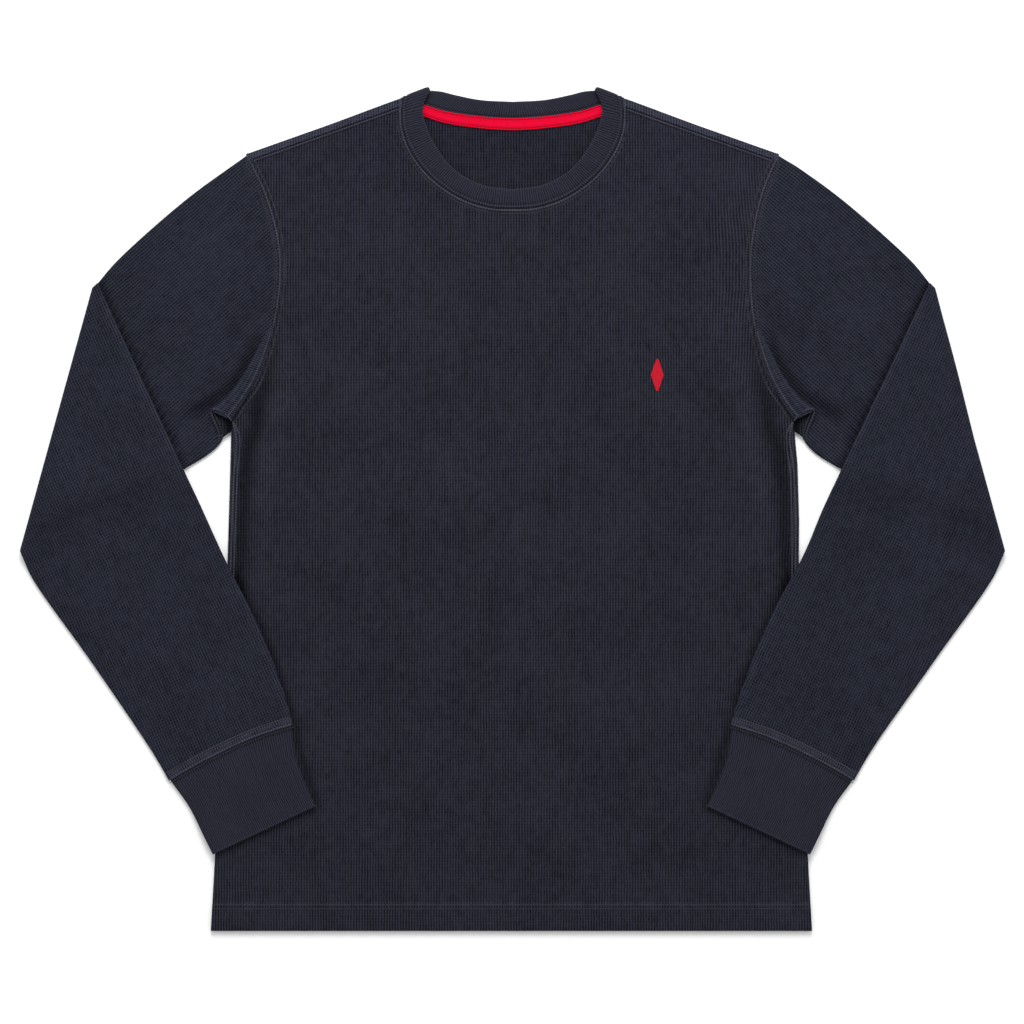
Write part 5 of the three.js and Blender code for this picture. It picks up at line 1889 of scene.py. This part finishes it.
class THERMAL_OT_ridges(bpy.types.Operator):
    """Raise the seams' ridges: neck, armholes, shoulders, sides and cuffs"""

    bl_idname = "thermal.ridges"
    bl_label = "Seam ridges"

    def execute(self, context):
        ridges = [
            ("neck_ridge", neck_line(NECK_RIDGE.place), NECK_RIDGE),
            ("neck_outer_ridge", neck_line(NECK_OUTER_RIDGE.place)[3:-3], NECK_OUTER_RIDGE),
        ]
        seams = (
            ("armhole", armhole_line, ARMHOLE_RIDGES),
            ("side", side_line, SIDE_RIDGES),
            ("cuff", cuff_line, CUFF_RIDGES),
        )
        for side, word in SIDES:
            for name, line, table in seams:
                for number, ridge in enumerate(table, 1):
                    ridges.append((f"{name}_ridge_{word}_{number}", line(side, ridge.place), ridge))
            shoulder = shoulder_line(side, SHOULDER_RIDGE.place)
            ridges.append((f"shoulder_ridge_{word}", shoulder, SHOULDER_RIDGE))
            ridges.append((f"tuck_ridge_{word}", tuck_line(side, TUCK_RIDGE.place), TUCK_RIDGE))
            for number, (table, sinks, ridge) in enumerate(TUCK_END_RIDGES, 1):
                end = tuck_end_line(side, table, sinks, ridge.place)
                ridges.append((f"tuck_end_{word}_{number}", end, ridge))
        for name, line, ridge in ridges:
            add_piece(bead_mesh(name, line, ridge), material("seam_cloth"))
        return {"FINISHED"}


class THERMAL_OT_stitching(bpy.types.Operator):
    """Sew the rows of stitches that show"""

    bl_idname = "thermal.stitching"
    bl_label = "Stitching"

    def execute(self, context):
        sewing = context.scene.thermal_sewing
        plain = {
            "Pitch": sewing.stitch_gap,
            "Length": sewing.stitch_length,
            "Width": sewing.thread_width,
            "Height": sewing.thread_width * 0.8,
        }
        rungs = {
            "Pitch": sewing.rung_gap,
            "Length": RUNG_LENGTH * MM,
            "Width": sewing.rung_width,
            "Height": sewing.rung_width * 0.6,
            "Lean": math.radians(RUNG_LEAN),
        }
        short_rungs = {**rungs, "Length": SHOULDER_RUNG_LENGTH * MM}
        hem = [hem_line(height) for height in HEM_STITCHES]
        cuffs = [cuff_line(side, CUFF_STITCHES) for side, _ in SIDES]
        crimps = [cuff_line(side, CUFF_RUNGS) for side, _ in SIDES]
        shoulders = [shoulder_line(side, SHOULDER_RUNGS) for side, _ in SIDES]
        armholes = [armhole_line(side, ARMHOLE_STITCHES) for side, _ in SIDES]
        band = [band_line(BAND_RIDGE, 1.0, BAND_STITCH_END)]
        tape = [tape_line(up) for up in TAPE_STITCHES]
        navy, red = material("navy_thread"), material("tape_thread")
        rows = (
            ("hem_stitches", hem, navy, "waffle_knit", plain),
            ("armhole_stitches", armholes, navy, "waffle_knit", plain),
            ("shoulder_rungs", shoulders, navy, "waffle_knit", short_rungs),
            ("neckband_stitches", band, navy, "rib_knit", plain),
            ("cuff_stitches", cuffs, navy, "rib_knit", plain),
            ("cuff_rungs", crimps, navy, "waffle_knit", rungs),
            ("tape_stitches", tape, red, "red_tape", plain),
            ("satin_lozenge", lozenge_rungs(), material("motif_thread"), "red_tape", LOZENGE_STITCH),
        )
        for name, paths, thread, slot, sizes in rows:
            add_piece(stitch_rows(name, paths, thread, **sizes), thread)
        return {"FINISHED"}


# Metres, apart from the sensor in millimetres
FLOOR_HALF = 4.0
FLOOR_DROP = 0.0002
CAMERA_SENSOR = 36.0
CAMERA_PLACE = (-0.0004, -0.0022)
CAMERA_REACH = 20.0
GARMENT_LEVEL = 0.003
# Name, place, width and which power of the stage settings
LAMPS = (
    ("softbox_key", (0.0, 2.6, 1.9), 1.8, "key_power"),
    ("softbox_left", (-2.2, 0.4, 1.7), 1.4, "fill_power"),
    ("softbox_right", (2.2, 0.4, 1.7), 1.4, "fill_power"),
)


class THERMAL_OT_stage(bpy.types.Operator):
    """Set the floor, the soft lights and the camera over the garment"""

    bl_idname = "thermal.stage"
    bl_label = "Stage"

    def execute(self, context):
        scene, stage = context.scene, context.scene.thermal_stage
        work = bmesh.new()
        bmesh.ops.create_grid(work, x_segments=1, y_segments=1, size=FLOOR_HALF)
        bmesh.ops.translate(work, verts=work.verts, vec=(0.0, 0.0, CAD_BOUNDS[0][2] - FLOOR_DROP))
        mesh = bpy.data.meshes.new("studio_floor")
        work.to_mesh(mesh)
        work.free()
        mesh.materials.append(floor_material(tuple(stage.floor_colour)))
        floor = bpy.data.objects.new("studio_floor", mesh)
        scene.collection.objects.link(floor)

        world = bpy.data.worlds.new("white_room")
        world.use_nodes = True
        background = world.node_tree.nodes["Background"]
        background.inputs["Color"].default_value = (1.0, 1.0, 1.0, 1.0)
        background.inputs["Strength"].default_value = stage.sky_strength
        scene.world = world

        for name, place, width, power in LAMPS:
            light = bpy.data.lights.new(name, "AREA")
            light.shape = "SQUARE"
            light.size = width
            light.energy = getattr(stage, power)
            lamp = bpy.data.objects.new(name, light)
            lamp.location = place
            lamp.rotation_euler = (-Vector(place)).to_track_quat("-Z", "Y").to_euler()
            lamp.visible_camera = False
            scene.collection.objects.link(lamp)

        camera_data = bpy.data.cameras.new("camera")
        camera_data.sensor_width = CAMERA_SENSOR
        distance = stage.camera_height - GARMENT_LEVEL
        camera_data.lens = CAMERA_SENSOR * distance / stage.view_width
        camera = bpy.data.objects.new("camera", camera_data)
        camera.location = (*CAMERA_PLACE, stage.camera_height)
        camera_data.clip_end = CAMERA_REACH
        scene.collection.objects.link(camera)
        scene.camera = camera
        scene.view_settings.view_transform = "Standard"
        scene.view_settings.look = "None"
        return {"FINISHED"}


OPERATORS = (
    THERMAL_OT_materials,
    THERMAL_OT_back_panel,
    THERMAL_OT_front_panel,
    THERMAL_OT_sleeves,
    THERMAL_OT_cuffs,
    THERMAL_OT_neckband,
    THERMAL_OT_neck_tape,
    THERMAL_OT_tucks,
    THERMAL_OT_ridges,
    THERMAL_OT_stitching,
    THERMAL_OT_stage,
)


class THERMAL_PT_sidebar(bpy.types.Panel):
    """The thermal top's pieces and sizes"""

    bl_idname = "THERMAL_PT_sidebar"
    bl_label = "Thermal Top"
    bl_space_type = "VIEW_3D"
    bl_region_type = "UI"
    bl_category = "Thermal Top"

    def draw(self, context):
        for name, group in PROPERTY_GROUPS.items():
            box = self.layout.box()
            box.label(text=group.__doc__)
            for key in group.__annotations__:
                box.prop(getattr(context.scene, name), key)
        for operator in OPERATORS:
            self.layout.operator(operator.bl_idname)


def register():
    for group in PROPERTY_GROUPS.values():
        bpy.utils.register_class(group)
    for name, group in PROPERTY_GROUPS.items():
        setattr(bpy.types.Scene, name, PointerProperty(type=group))
    for operator in OPERATORS:
        bpy.utils.register_class(operator)
    bpy.utils.register_class(THERMAL_PT_sidebar)


def unregister():
    bpy.utils.unregister_class(THERMAL_PT_sidebar)
    for operator in reversed(OPERATORS):
        bpy.utils.unregister_class(operator)
    for name, group in PROPERTY_GROUPS.items():
        delattr(bpy.types.Scene, name)
        bpy.utils.unregister_class(group)


def main():
    register()
    for operator in OPERATORS:
        category, name = operator.bl_idname.split(".")
        getattr(getattr(bpy.ops, category), name)()


if __name__ == "__main__":
    main()
